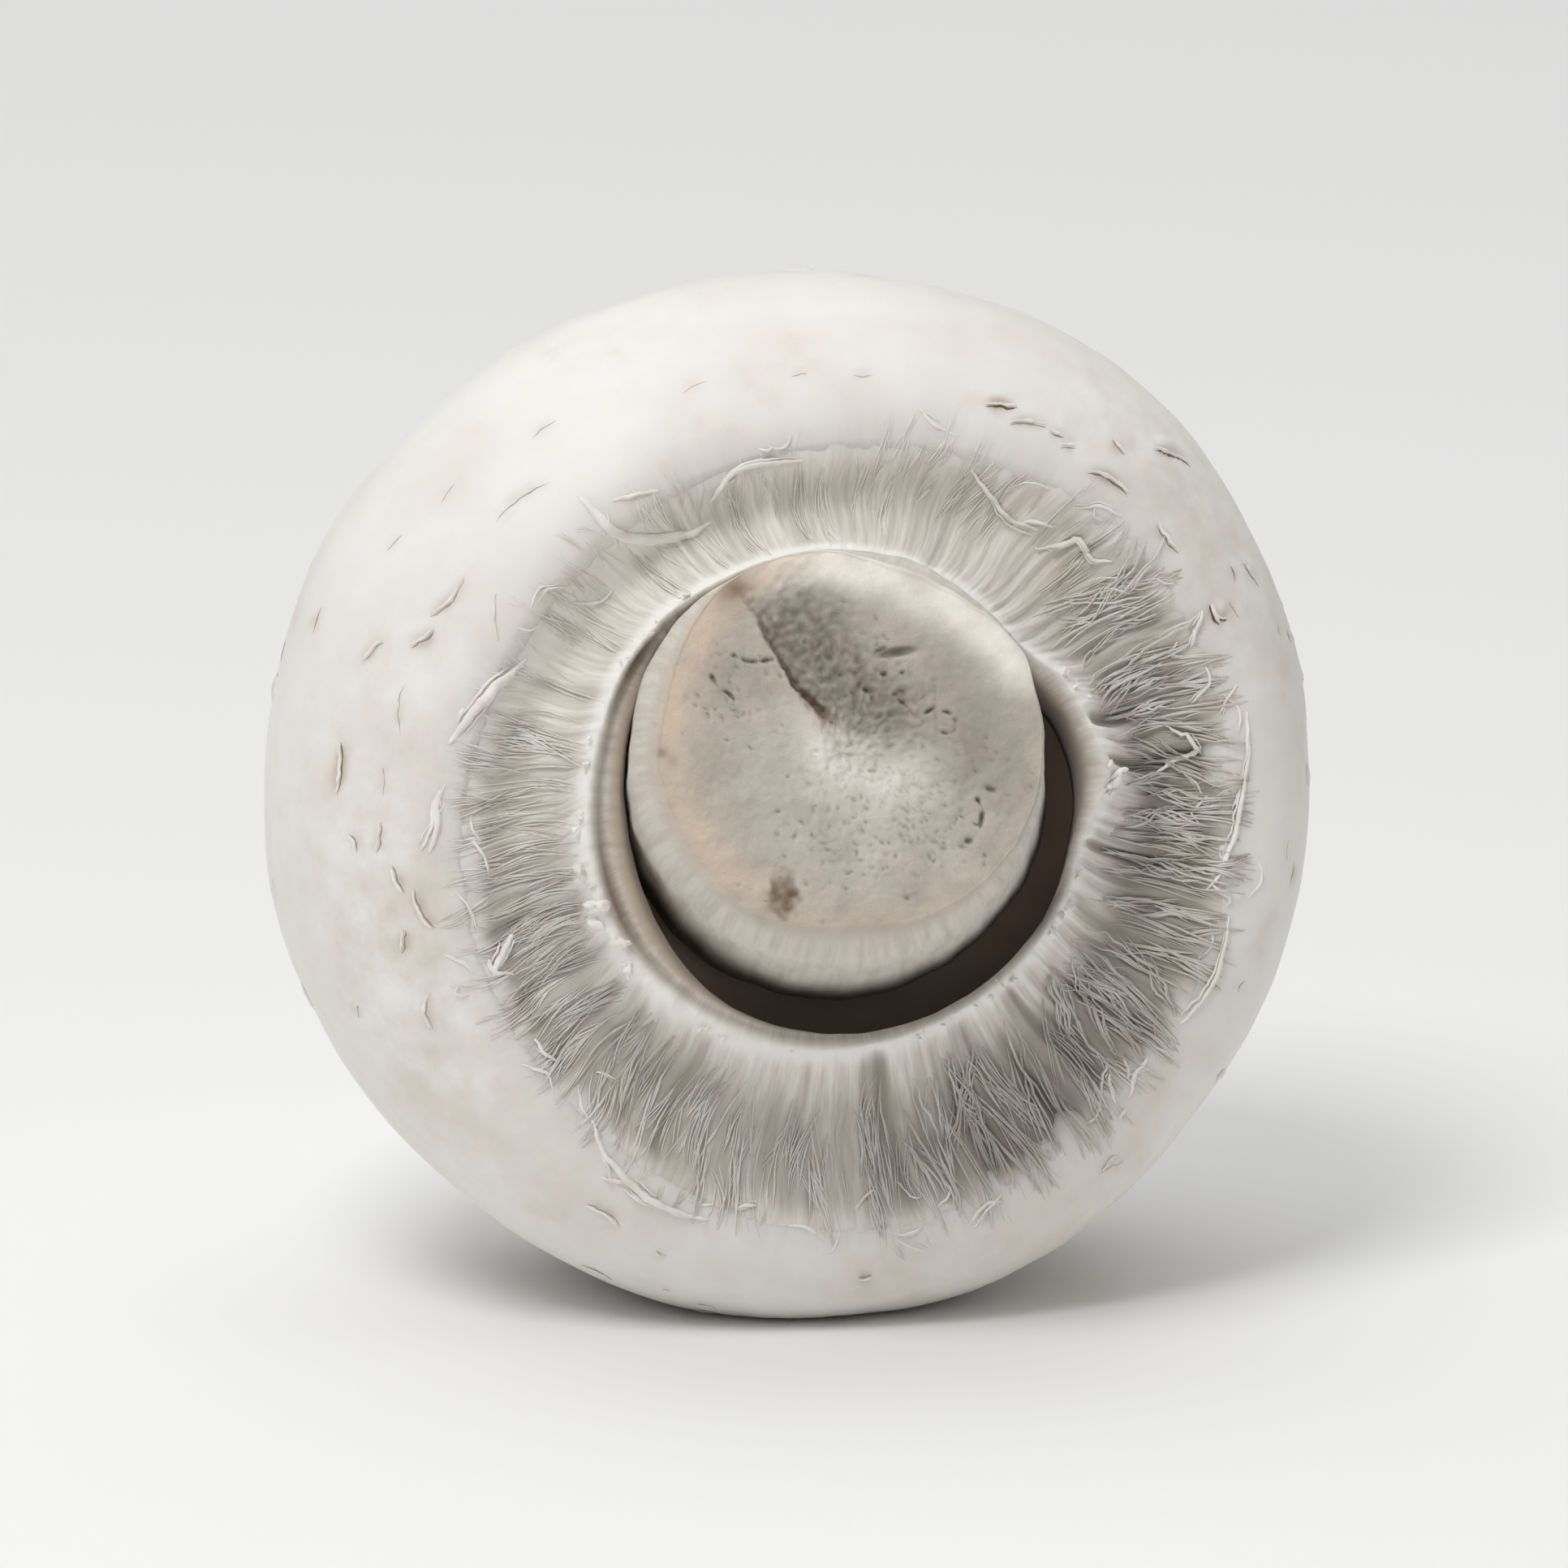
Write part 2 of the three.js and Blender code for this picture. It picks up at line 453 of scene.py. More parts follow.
def add(
    tree: NodeTree,
    kind: str,
    settings: dict[str, object] | None = None,
    links: dict[str | int, Socket] | None = None,
) -> Node:
    """Adds a shader node.

    Args:
        tree: The material's nodes.
        kind: The node's type, without its "ShaderNode".
        settings: Values by name: a name with a capital is an input, any other is a property.
        links: The sockets that feed its inputs, by input name or number.

    Returns:
        The node.
    """
    node = tree.nodes.new("ShaderNode" + kind)
    for name, value in (settings or {}).items():
        if name[0].isupper():
            node.inputs[name].default_value = value
        else:
            setattr(node, name, value)
    for name, socket in (links or {}).items():
        tree.links.new(socket, node.inputs[name])
    return node


def noise_share(
    tree: NodeTree, place: Socket, size: float, detail: float, low: float, high: float, most: float
) -> Socket:
    """Patches of noise, as a share to mix with.

    Args:
        tree: The material's nodes.
        place: The Object coordinates.
        size: Size of the patches, in millimetres.
        detail: How many finer layers they have.
        low: Below this the noise gives 0.
        high: Above this it gives the most.
        most: The greatest share.

    Returns:
        The socket with the share.
    """
    patches = add(
        tree, "TexNoise", {"Scale": per_mm(size), "Detail": detail, "Roughness": 0.6}, {"Vector": place}
    )
    limits = {"From Min": low, "From Max": high, "To Max": most}
    return add(tree, "MapRange", limits, {"Value": patches.outputs["Fac"]}).outputs["Result"]


def tinted(tree: NodeTree, colour: Socket | str, tint: str, share: Socket) -> Socket:
    """Mixes a share of a tint, such as "#c9ab88", into a colour, and gives the socket with the result."""
    mix = add(tree, "MixRGB", {"Color2": srgb(tint)}, {"Fac": share})
    if isinstance(colour, str):
        mix.inputs["Color1"].default_value = srgb(colour)
    else:
        tree.links.new(colour, mix.inputs["Color1"])
    return mix.outputs["Color"]


def tinted_where(tree: NodeTree, colour: Socket | str, tints: dict[str, str]) -> Socket:
    """Mixes tints into a colour one after another, each as far as the vertex attribute of its name says."""
    for name, tint in tints.items():
        colour = tinted(tree, colour, tint, add(tree, "Attribute", {"attribute_name": name}).outputs["Fac"])
    return colour


def bumped(tree: NodeTree, height: Socket, strength: float, depth: float, under: Socket | None) -> Socket:
    """A relief of a depth in millimetres, on top of another if there is one under it."""
    links = {"Height": height, "Normal": under} if under else {"Height": height}
    return add(tree, "Bump", {"Strength": strength, "Distance": depth * MM}, links).outputs["Normal"]


@dataclass(frozen=True)
class Finish:
    """A finish whose colour and relief come from procedural nodes.

    Attributes:
        name: What the surface is.
        roughness: Typical of it, then matched.
        ior: Of its outermost layer.
        scatter: Share of the light that goes through the flesh and out again.
        scatter_depth: How deep that light goes, in millimetres.
        fuzz: Strength of the soft edge light of a fibrous surface.
    """

    name: str
    roughness: float
    ior: float
    scatter: float
    scatter_depth: float
    fuzz: float

    def material(self) -> Material:
        """Makes the material."""
        material = bpy.data.materials.new(self.name)
        material.use_nodes = True
        tree = material.node_tree
        tree.nodes.clear()
        settings = {
            "Roughness": self.roughness,
            "IOR": self.ior,
            "Subsurface Weight": self.scatter,
            "Subsurface Radius": (1.0, 0.78, 0.58),
            "Subsurface Scale": self.scatter_depth * MM,
            "Sheen Weight": self.fuzz,
            "Sheen Roughness": 0.5,
        }
        colour, normal = self.paint(tree, add(tree, "TexCoord").outputs["Object"])
        links = {"Base Color": colour, "Normal": normal} if normal else {"Base Color": colour}
        shader = add(tree, "BsdfPrincipled", settings, links)
        add(tree, "OutputMaterial", {}, {"Surface": shader.outputs["BSDF"]})
        return material

    def paint(self, tree: NodeTree, place: Socket) -> tuple[Socket, Socket | None]:
        """Adds the pattern's nodes.

        Args:
            tree: The material's nodes.
            place: The Object coordinates.

        Returns:
            The colour, and the relief's normal if there is a relief.
        """
        raise NotImplementedError


@dataclass(frozen=True)
class CapSkin(Finish):
    """The dry, matte outer skin of a white button mushroom: off-white, with creamy clouds and faint bruises,
    more of them where it is worn, where a warmer tint also paints shade. Near the rim it turns into the
    veil's silk, and inside into brown gills."""

    white: str = "#f4f3ef"
    cream: str = "#ebe5db"
    bruise: str = "#dccdb8"
    worn: str = "#d8cbbb"
    browned: str = "#b39a7c"
    silk: str = "#f1eee8"
    silk_shade: str = "#dfdad1"
    gills: str = "#a8927f"

    def paint(self, tree: NodeTree, place: Socket) -> tuple[Socket, Socket | None]:
        """See Finish.paint."""
        skin = tinted(tree, self.white, self.cream, noise_share(tree, place, 9.0, 3.0, 0.4, 0.7, 0.8))
        skin = tinted(tree, skin, self.bruise, noise_share(tree, place, 4.5, 4.0, 0.6, 0.78, 0.4))
        # Worn margin: bruised smudges, whose warm tint is also painted shade, most on the left.
        worn = add(tree, "Attribute", {"attribute_name": "worn"}).outputs["Fac"]
        smudges = noise_share(tree, place, 2.6, 4.0, 0.36, 0.78, 0.8)
        bruised_and_shaded = add(tree, "Math", {"operation": "MULTIPLY"}, {0: worn, 1: smudges})
        skin = tinted(tree, skin, self.worn, bruised_and_shaded.outputs["Value"])
        skin = tinted_where(tree, skin, {"browned": self.browned})
        grain = add(tree, "Attribute", {"attribute_name": "grain"}).outputs["Vector"]
        streaks = add(
            tree, "TexNoise", {"Scale": 1.0 / 0.35, "Detail": 3.0}, {"Vector": grain}
        ).outputs["Fac"]
        silky = tinted(tree, self.silk_shade, self.silk, streaks)
        silk = add(tree, "Attribute", {"attribute_name": "silk"}).outputs["Fac"]
        skin = add(tree, "MixRGB", {}, {"Fac": silk, "Color1": skin, "Color2": silky}).outputs["Color"]
        # Skin as fine as this, 0.3 mm, reads as a soft suede rather than as single fibres.
        suede = add(
            tree, "TexNoise", {"Scale": per_mm(0.3), "Detail": 2.0}, {"Vector": place}
        ).outputs["Fac"]
        soft = bumped(tree, suede, 0.25, 0.03, None)
        return tinted_where(tree, skin, {"gills": self.gills}), bumped(tree, streaks, 0.3, 0.05, soft)


@dataclass(frozen=True)
class VeilSilk(Finish):
    """The torn inner veil: a felt of fine white threads that run towards the stem, greyer between them.
    Painted shade also darkens its parted hollows, the collar's inner wall and groove, and the ring's right
    and lower side.
    """

    light: str = "#f3efe7"
    shade: str = "#d6cfc4"
    # grey: painted shade that the dusk attribute lays on, round the ring's right and lower side.
    grey: str = "#9f978c"
    # deep: painted shade in the hollows where the felt has parted.
    deep: str = "#857c70"
    skin: str = "#f1eee8"
    rim: str = "#f8f6f0"
    stain: str = "#d6c6ae"
    # inner and the cleft tint: painted shade down the collar's inner wall, into the gap by the stem and in
    # the groove between its two layers.
    inner: str = "#c6b8a8"
    cleft_shade: str = "#8a7766"
    strand: float = 0.7  # mm between the coarse threads
    hair: float = 0.22  # mm between the fine ones

    def paint(self, tree: NodeTree, place: Socket) -> tuple[Socket, Socket | None]:
        """See Finish.paint."""
        grain = add(tree, "Attribute", {"attribute_name": "grain"}).outputs["Vector"]
        coarse = add(tree, "TexNoise", {"Scale": 1.0 / self.strand, "Detail": 2.0}, {"Vector": grain})
        hairs = {"Scale": 1.0 / self.hair, "Detail": 3.0, "Roughness": 0.6}
        fine = add(tree, "TexNoise", hairs, {"Vector": grain})
        both = {0: coarse.outputs["Fac"], 1: fine.outputs["Fac"]}
        threads = add(tree, "Math", {"operation": "MULTIPLY"}, both).outputs["Value"]
        lit = add(tree, "MapRange", {"From Min": 0.14, "From Max": 0.36, "To Max": 1.0}, {"Value": threads})
        felt = tinted(tree, self.shade, self.light, lit.outputs["Result"])
        felt = tinted(tree, felt, self.stain, noise_share(tree, place, 3.0, 3.0, 0.6, 0.75, 0.35))
        # Painted shade: the felt darkens where its threads have parted into hollows.
        parted = add(tree, "Attribute", {"attribute_name": "parted"}).outputs["Fac"]
        deep = add(tree, "MapRange", {"From Min": 0.0, "From Max": 0.3, "To Max": 0.9}, {"Value": parted})
        felt = tinted(tree, felt, self.deep, deep.outputs["Result"])
        tints = {
            "painted_shade": self.grey, "outer": self.skin, "inner": self.inner, "rim": self.rim, "cleft_shade": self.cleft_shade
        }
        return tinted_where(tree, felt, tints), bumped(tree, threads, 0.6, 0.08, None)


@dataclass(frozen=True)
class TornMembrane(Finish):
    """Loose threads, folds and crumbs of the veil: thin white tissue, creamier where it has dried. The loose
    threads are greyed by painted shade, most round the ring's right and lower side."""

    white: str = "#fdfbf7"
    dried: str = "#ece6db"
    # thin: painted shade that greys the loose threads, laid on from the veil's dusk.
    thin: str = "#b9b1a5"

    def paint(self, tree: NodeTree, place: Socket) -> tuple[Socket, Socket | None]:
        """See Finish.paint."""
        colour = tinted(tree, self.white, self.dried, noise_share(tree, place, 1.6, 2.0, 0.3, 0.7, 1.0))
        felt = add(
            tree, "TexNoise", {"Scale": per_mm(0.15), "Detail": 2.0}, {"Vector": place}
        ).outputs["Fac"]
        return tinted_where(tree, colour, {"thin": self.thin}), bumped(tree, felt, 0.3, 0.03, None)


@dataclass(frozen=True)
class SlitSkin(Finish):
    """The inside of a tear in the skin, which browns as it dries: pale when fresh, dark when old."""

    fresh: str = "#cdc3b6"
    old: str = "#6b523b"

    def paint(self, tree: NodeTree, place: Socket) -> tuple[Socket, Socket | None]:
        """See Finish.paint."""
        return tinted_where(tree, self.fresh, {"stain": self.old}), None


@dataclass(frozen=True)
class StemFlesh(Finish):
    """Knife-cut mushroom flesh that has dried for a day: dense and beige, cream and tan along the cut's edge,
    grey in its torn hollow, with smooth white skin down the side, streaked by its fibres. Painted shade greys
    the hollow, the pits, the face's right side, the bottom edge and the side's skin; painted light brightens
    the hollow's upturned slope and, with the flesh's own cream, the upper edge."""

    flesh: str = "#b9b0a3"
    light: str = "#cdc4b7"
    # skin: greyer than the cap's white, as painted shade down the stem's side.
    skin: str = "#dcd6cc"
    streak: str = "#c4baac"
    # hollow: painted shade in the torn hollow, in the pits and over the face's right side, with a darker
    # smudge too.
    hollow: str = "#8c8377"
    # pale: painted light on the hollow's upturned slope, and a paler patch lower in the middle.
    pale: str = "#efeae1"
    # cream: the flesh's own cream along the upper edge, brightened there as painted light.
    cream: str = "#faf5ea"
    tan: str = "#dcc8b3"
    brown: str = "#6f4f36"
    fibre: float = 0.5  # mm across the side's fibres

    def paint(self, tree: NodeTree, place: Socket) -> tuple[Socket, Socket | None]:
        """See Finish.paint."""
        colour = tinted(tree, self.flesh, self.light, noise_share(tree, place, 2.4, 5.0, 0.35, 0.65, 1.0))
        names = ("hollow", "pale", "cream", "tan", "skin", "brown")
        colour = tinted_where(tree, colour, {name: getattr(self, name) for name in names})
        fibre = add(tree, "Attribute", {"attribute_name": "fibre"}).outputs["Vector"]
        strands = {"Scale": 1.0 / self.fibre, "Detail": 4.0, "Roughness": 0.6}
        strand = add(tree, "TexNoise", strands, {"Vector": fibre}).outputs["Fac"]
        streaky = add(
            tree, "MapRange", {"From Min": 0.42, "From Max": 0.68, "To Max": 0.7}, {"Value": strand}
        )
        skin = add(tree, "Attribute", {"attribute_name": "skin"}).outputs["Fac"]
        on_side = add(tree, "Math", {"operation": "MULTIPLY"}, {0: streaky.outputs["Result"], 1: skin})
        colour = tinted(tree, colour, self.streak, on_side.outputs["Value"])
        sponge = {"Scale": per_mm(0.28), "Detail": 4.0, "Roughness": 0.65}
        pores = bumped(
            tree, add(tree, "TexNoise", sponge, {"Vector": place}).outputs["Fac"], 0.7, 0.12, None
        )
        combing = {"Strength": on_side.outputs["Value"], "Height": strand, "Normal": pores}
        return colour, add(tree, "Bump", {"Distance": 0.1 * MM}, combing).outputs["Normal"]


# ---- Cap ----


@dataclass(frozen=True)
class Tear:
    """A short tear across the cap's skin, whose lip on the crown's side stands up a little.

    Attributes:
        direction: In degrees.
        margin: Millimetres from the widest section towards the rim, or towards the crown if negative.
        length: Millimetres.
        tilt: How far it is turned from lying round the cap, in degrees.
        depth: Millimetres.
        stain: How brown it is, from 0 to 1.
    """

    direction: float
    margin: float
    length: float
    tilt: float
    depth: float
    stain: float

    def bend(self, share: float) -> float:
        """How far its line strays sideways, at a share from -1 to 1 of its length."""
        return 0.13 * self.length * (0.5 - share * share) * math.sin(self.direction)


@dataclass(frozen=True)
class Cap:
    """The dome, its rolled rim and the flesh behind the veil, as one closed skin."""

    plan: BodyPlan
    finish: Finish
    around: int = 540
    dome_rows: int = 84
    fold_rows: int = 64
    swell: float = 0.24
    pucker: float = 0.16
    # The fields of Tear, row by row.
    named_tears: tuple[tuple[float, ...], ...] = (
        (202, 1.9, 1.4, 10, 0.1, 0.45),
        (202, 6.1, 1.6, -25, 0.12, 0.4),
        (206, 8.5, 1.5, -34, 0.16, 0.6),
        (212, 8.8, 2.6, -12, 0.14, 0.4),
        (193, -4.0, 1.5, 0, 0.2, 0.95),
        (197, 8.7, 2.6, 15, 0.1, 0.2),
        (188, 5.9, 2.6, 5, 0.16, 0.75),
        (188, 8.6, 1.4, 10, 0.08, 0.3),
        (180, 7.0, 1.0, 30, 0.12, 0.45),
        (181, 8.5, 1.6, -10, 0.12, 0.4),
        (176, 9.5, 1.4, 25, 0.12, 0.5),
        (172, 10.9, 2.2, 20, 0.16, 0.55),
        (168, 9.2, 1.2, -20, 0.12, 0.45),
        (227, 8.6, 3.2, -8, 0.1, 0.35),
        (235, 6.3, 1.6, 0, 0.08, 0.2),
        (222, 5.2, 1.3, 12, 0.06, 0.15),
        (214, 4.4, 1.2, -14, 0.06, 0.18),
        (266, 8.8, 0.8, 0, 0.08, 0.15),
        (253, 8.0, 1.3, 10, 0.06, 0.1),
        (274, 9.2, 1.1, 0, 0.08, 0.12),
        (292, 10.2, 1.7, 12, 0.2, 0.95),
        (296, 10.8, 1.9, 16, 0.14, 0.4),
        (300, 10.7, 0.8, 0, 0.14, 0.55),
        (302, 11.1, 0.8, 30, 0.12, 0.45),
        (308, 9.3, 1.0, -20, 0.12, 0.45),
        (309, 11.7, 2.4, 8, 0.18, 0.75),
        (315, 7.1, 2.6, 35, 0.22, 0.85),
        (320, 11.8, 1.8, -6, 0.14, 0.6),
        (332, 11.9, 1.1, 0, 0.24, 1.0),
        (333, 11.6, 0.7, 60, 0.16, 0.9),
    )
    random_tears: int = 90
    seed: int = 7
    shown: tuple[float, float] = (165.0, 325.0)  # degrees between which only the named tears lie

    def profile(self) -> list[Vector]:
        """The cap's outline from the crown over the rim, in under the veil and back to the axis."""
        plan = self.plan
        rows = [i / self.dome_rows - 1.0 for i in range(self.dome_rows)]
        dome = [plan.margin_point(plan.dome_length * share) for share in rows]
        fold = [plan.margin_point(plan.crest_length * i / self.fold_rows) for i in range(self.fold_rows + 1)]
        rim = Vector((plan.rim_radius, 0.0, -plan.rim_drop))
        under = smooth_path([rim, rim + Vector((-0.8, 0, 0.55)), rim + Vector((-1.9, 0, 2.9))], 0.3)
        floor = -plan.underside_depth
        inner = rim.x - 1.9
        inside = [Vector((inner * share, 0.0, floor)) for share in (1.0, 0.75, 0.5, 0.25)]
        dome[0].x = 0.0
        return [*dome, *fold, *under[1:], *inside, upright(floor)]

    def tears(self) -> list[Tear]:
        """The tears that are known, and others like them over the rest of the skin."""
        source = random.Random(self.seed)
        tears = [Tear(*row) for row in self.named_tears]
        for _ in range(self.random_tears):
            direction = source.uniform(-35.0, 255.0) if source.random() < 0.5 else source.uniform(0.0, 360.0)
            margin = 11.0 - abs(source.gauss(0.0, 14.0))
            taken = self.shown[0] < direction % 360.0 < self.shown[1] and margin > -1.0
            length = source.uniform(0.5, 2.2)
            tilt = source.gauss(0.0, 18.0)
            stain = source.uniform(0.1, 0.5) * (1.0 if source.random() < 0.7 else 1.8)
            depth = source.uniform(0.05, 0.16)
            worn = smoothstep(-14.0, 4.0, margin)
            depth *= mixed(0.5, 1.0, worn)
            stain *= mixed(0.2, 1.0, worn)
            if not taken:
                tears.append(Tear(direction, margin, length, tilt, depth, stain))
        return tears

    def place_of(self, tear: Tear) -> tuple[Vector, Vector, Vector, Vector]:
        """A tear's middle, and the ways along it, across it towards the crown, and out of the skin."""
        turn = math.radians(tear.direction)

        def skin(angle: float, margin: float) -> Vector:
            """The uneven skin's point in a direction, at a distance from the widest section."""
            point = self.plan.margin_point(margin)
            return self.plan.uneven(towards(angle, point.x) + upright(point.z))

        middle = skin(turn, tear.margin)
        round_cap = (skin(turn + 0.02, tear.margin) - middle).normalized()
        crownwards = (skin(turn, tear.margin - 0.4) - middle).normalized()
        out = round_cap.cross(crownwards).normalized()
        if out.dot(middle) < 0:
            out.negate()
        tilted = Matrix.Rotation(math.radians(tear.tilt), 3, out)
        return middle, tilted @ round_cap, tilted @ crownwards, out

    def build(self) -> tuple[Object, BVHTree]:
        """Makes the cap.

        Returns:
            The piece, and its surface in the growing frame for what lies on it.
        """
        plan = self.plan
        body = turned(self.profile(), self.around)
        along = body.verts.layers.float["along"]
        grain = body.verts.layers.float_vector.new("grain")
        silk, gills, worn, _ = number_layers(body, "silk", "gills", "worn", "browned")
        rim = plan.dome_length + plan.crest_length
        for vert in body.verts:
            direction = polar(vert.co)[1]
            vert[grain] = radial_grain(direction, vert[along])
            edge = rim - 1.2 + 0.9 * rough(towards(direction, plan.cap_radius), 3.0, 4)
            vert[silk] = smoothstep(edge - 0.6, rim + 0.8, vert[along])
            vert[gills] = smoothstep(rim + 2.4, rim + 3.6, vert[along])
            near_rim = smoothstep(rim - 14.0, rim - 3.0, vert[along])
            vert[worn] = near_rim * min(1.0, self.wear_and_shade_around(direction))
            vert.co = plan.uneven(vert.co)

        def relief(vert: BMVert) -> float:
            """Swells, soft creases that gather towards the rim, and the silk's first threads."""
            direction = polar(vert.co)[1]
            height = self.swell * rough(vert.co, 9.0, 1) + 0.35 * self.swell * rough(vert.co, 3.5, 2)
            near_rim = smoothstep(rim - 8.0, rim, vert[along])
            creases = rough(radial_grain(direction, vert[along], 3), 2.2, 3)
            wrinkles = vert[worn] * (0.09 * rough(vert.co, 1.1, 7) - 0.08 * abs(rough(vert.co, 2.3, 22)))
            threads = rough(radial_grain(direction, vert[along], 5), 0.9, 5)
            return height + self.pucker * near_rim * creases + wrinkles + 0.08 * vert[silk] * threads

        raise_skin(body, relief)
        self.tear_skin(body)
        surface = BVHTree.FromBMesh(body)
        plan.lay_down(body)
        return as_piece(body, "cap_skin", self.finish.material()), surface

    def wear_and_shade_around(self, direction: float) -> float:
        """How bruised the margin is in a direction, most where it lay against other mushrooms; on the left
        its tint also stands in for warm shade.
        """
        turn = math.degrees(direction) % 360.0
        return bell(turn - 168.0, 38.0) + 0.9 * bell(turn - 322.0, 26.0) + 0.5 * bell(turn - 60.0, 50.0)

    def tear_skin(self, body: BMesh) -> None:
        """Sinks each tear into the skin and lifts its lip."""
        body.verts.ensure_lookup_table()
        tree = KDTree(len(body.verts))
        for vert in body.verts:
            tree.insert(vert.co, vert.index)
        tree.balance()
        browned = body.verts.layers.float["browned"]
        moves: dict[int, Vector] = {}
        for tear in self.tears():
            middle, along, across, out = self.place_of(tear)
            for place, index, _ in tree.find_range(middle, tear.length + 1.0):
                offset = place - middle
                lengthwise = offset.dot(along) / (tear.length * 0.5)
                sideways = offset.dot(across) - tear.bend(lengthwise)
                fade = max(0.0, 1.0 - lengthwise * lengthwise)
                lip = 0.8 * tear.depth * bell(sideways - 0.5, 0.42)
                groove = tear.depth * bell(sideways, 0.3)
                moves[index] = moves.get(index, Vector()) + out * ((lip - groove) * fade)
                halo = 0.75 * tear.stain * fade * bell(sideways, 0.45) * (0.6 + 0.8 * rough(place, 0.6, 18))
                vert = body.verts[index]
                vert[browned] = max(vert[browned], halo)
        for index, move in moves.items():
            body.verts[index].co += move


@dataclass(frozen=True)
class TornSkin:
    """The tears' edges, laid in their grooves: a thin dark slit, and the skin's white lip beside it."""

    cap: Cap
    surface: BVHTree
    slit_finish: Finish
    lip_finish: Finish
    steps: int = 10
    least_depth: float = 0.11  # of a tear that has a lip

    def build_slits(self) -> Object:
        """Makes all the slits, as one piece that knows how brown each is."""
        tears = self.cap.tears()
        body = spun_threads([self.line(tear, 0.0, 0.02 + 0.055 * tear.stain) for tear in tears], 1)
        (stain,) = number_layers(body, "stain")
        tree = KDTree(len(tears))
        for i, tear in enumerate(tears):
            tree.insert(self.cap.place_of(tear)[0], i)
        tree.balance()
        for vert in body.verts:
            vert[stain] = tears[tree.find(vert.co)[1]].stain
        self.cap.plan.lay_down(body)
        return as_piece(body, "skin_slits", self.slit_finish.material())

    def build_lips(self) -> Object:
        """Makes the lips of the deeper tears, as one piece."""
        deeper = [tear for tear in self.cap.tears() if tear.depth > self.least_depth]
        body = spun_threads([self.line(tear, 0.16, 0.05 + 0.35 * tear.depth) for tear in deeper], 1)
        for vert in body.verts:
            vert.co += Vector([rough(vert.co, 0.4, 45 + axis) for axis in range(3)]) * 0.06
        self.cap.plan.lay_down(body)
        return as_piece(body, "skin_lips", self.lip_finish.material())

    def line(self, tear: Tear, aside: float, thickness: float) -> Strand:
        """A strand along a tear, half sunk into the skin.

        Args:
            tear: The tear.
            aside: How far it lies towards the crown.
            thickness: Its radius in the middle.

        Returns:
            The strand.
        """
        middle, along, across, out = self.cap.place_of(tear)
        strand = []
        for i in range(self.steps + 1):
            share = 2.0 * i / self.steps - 1.0
            stray = aside + tear.bend(share) + 0.09 * rough(middle + along * (share * tear.length), 0.9, 6)
            place = middle + along * (share * tear.length * 0.5) + across * stray
            found = self.surface.find_nearest(place)[0]
            taper = math.sqrt(max(0.0, 1.0 - share * share)) * (1.0 + 0.9 * rough(place, 0.35, 19))
            strand.append((found - out * (thickness * taper * 0.45), thickness * max(0.15, taper)))
        return strand


# ---- Veil ----


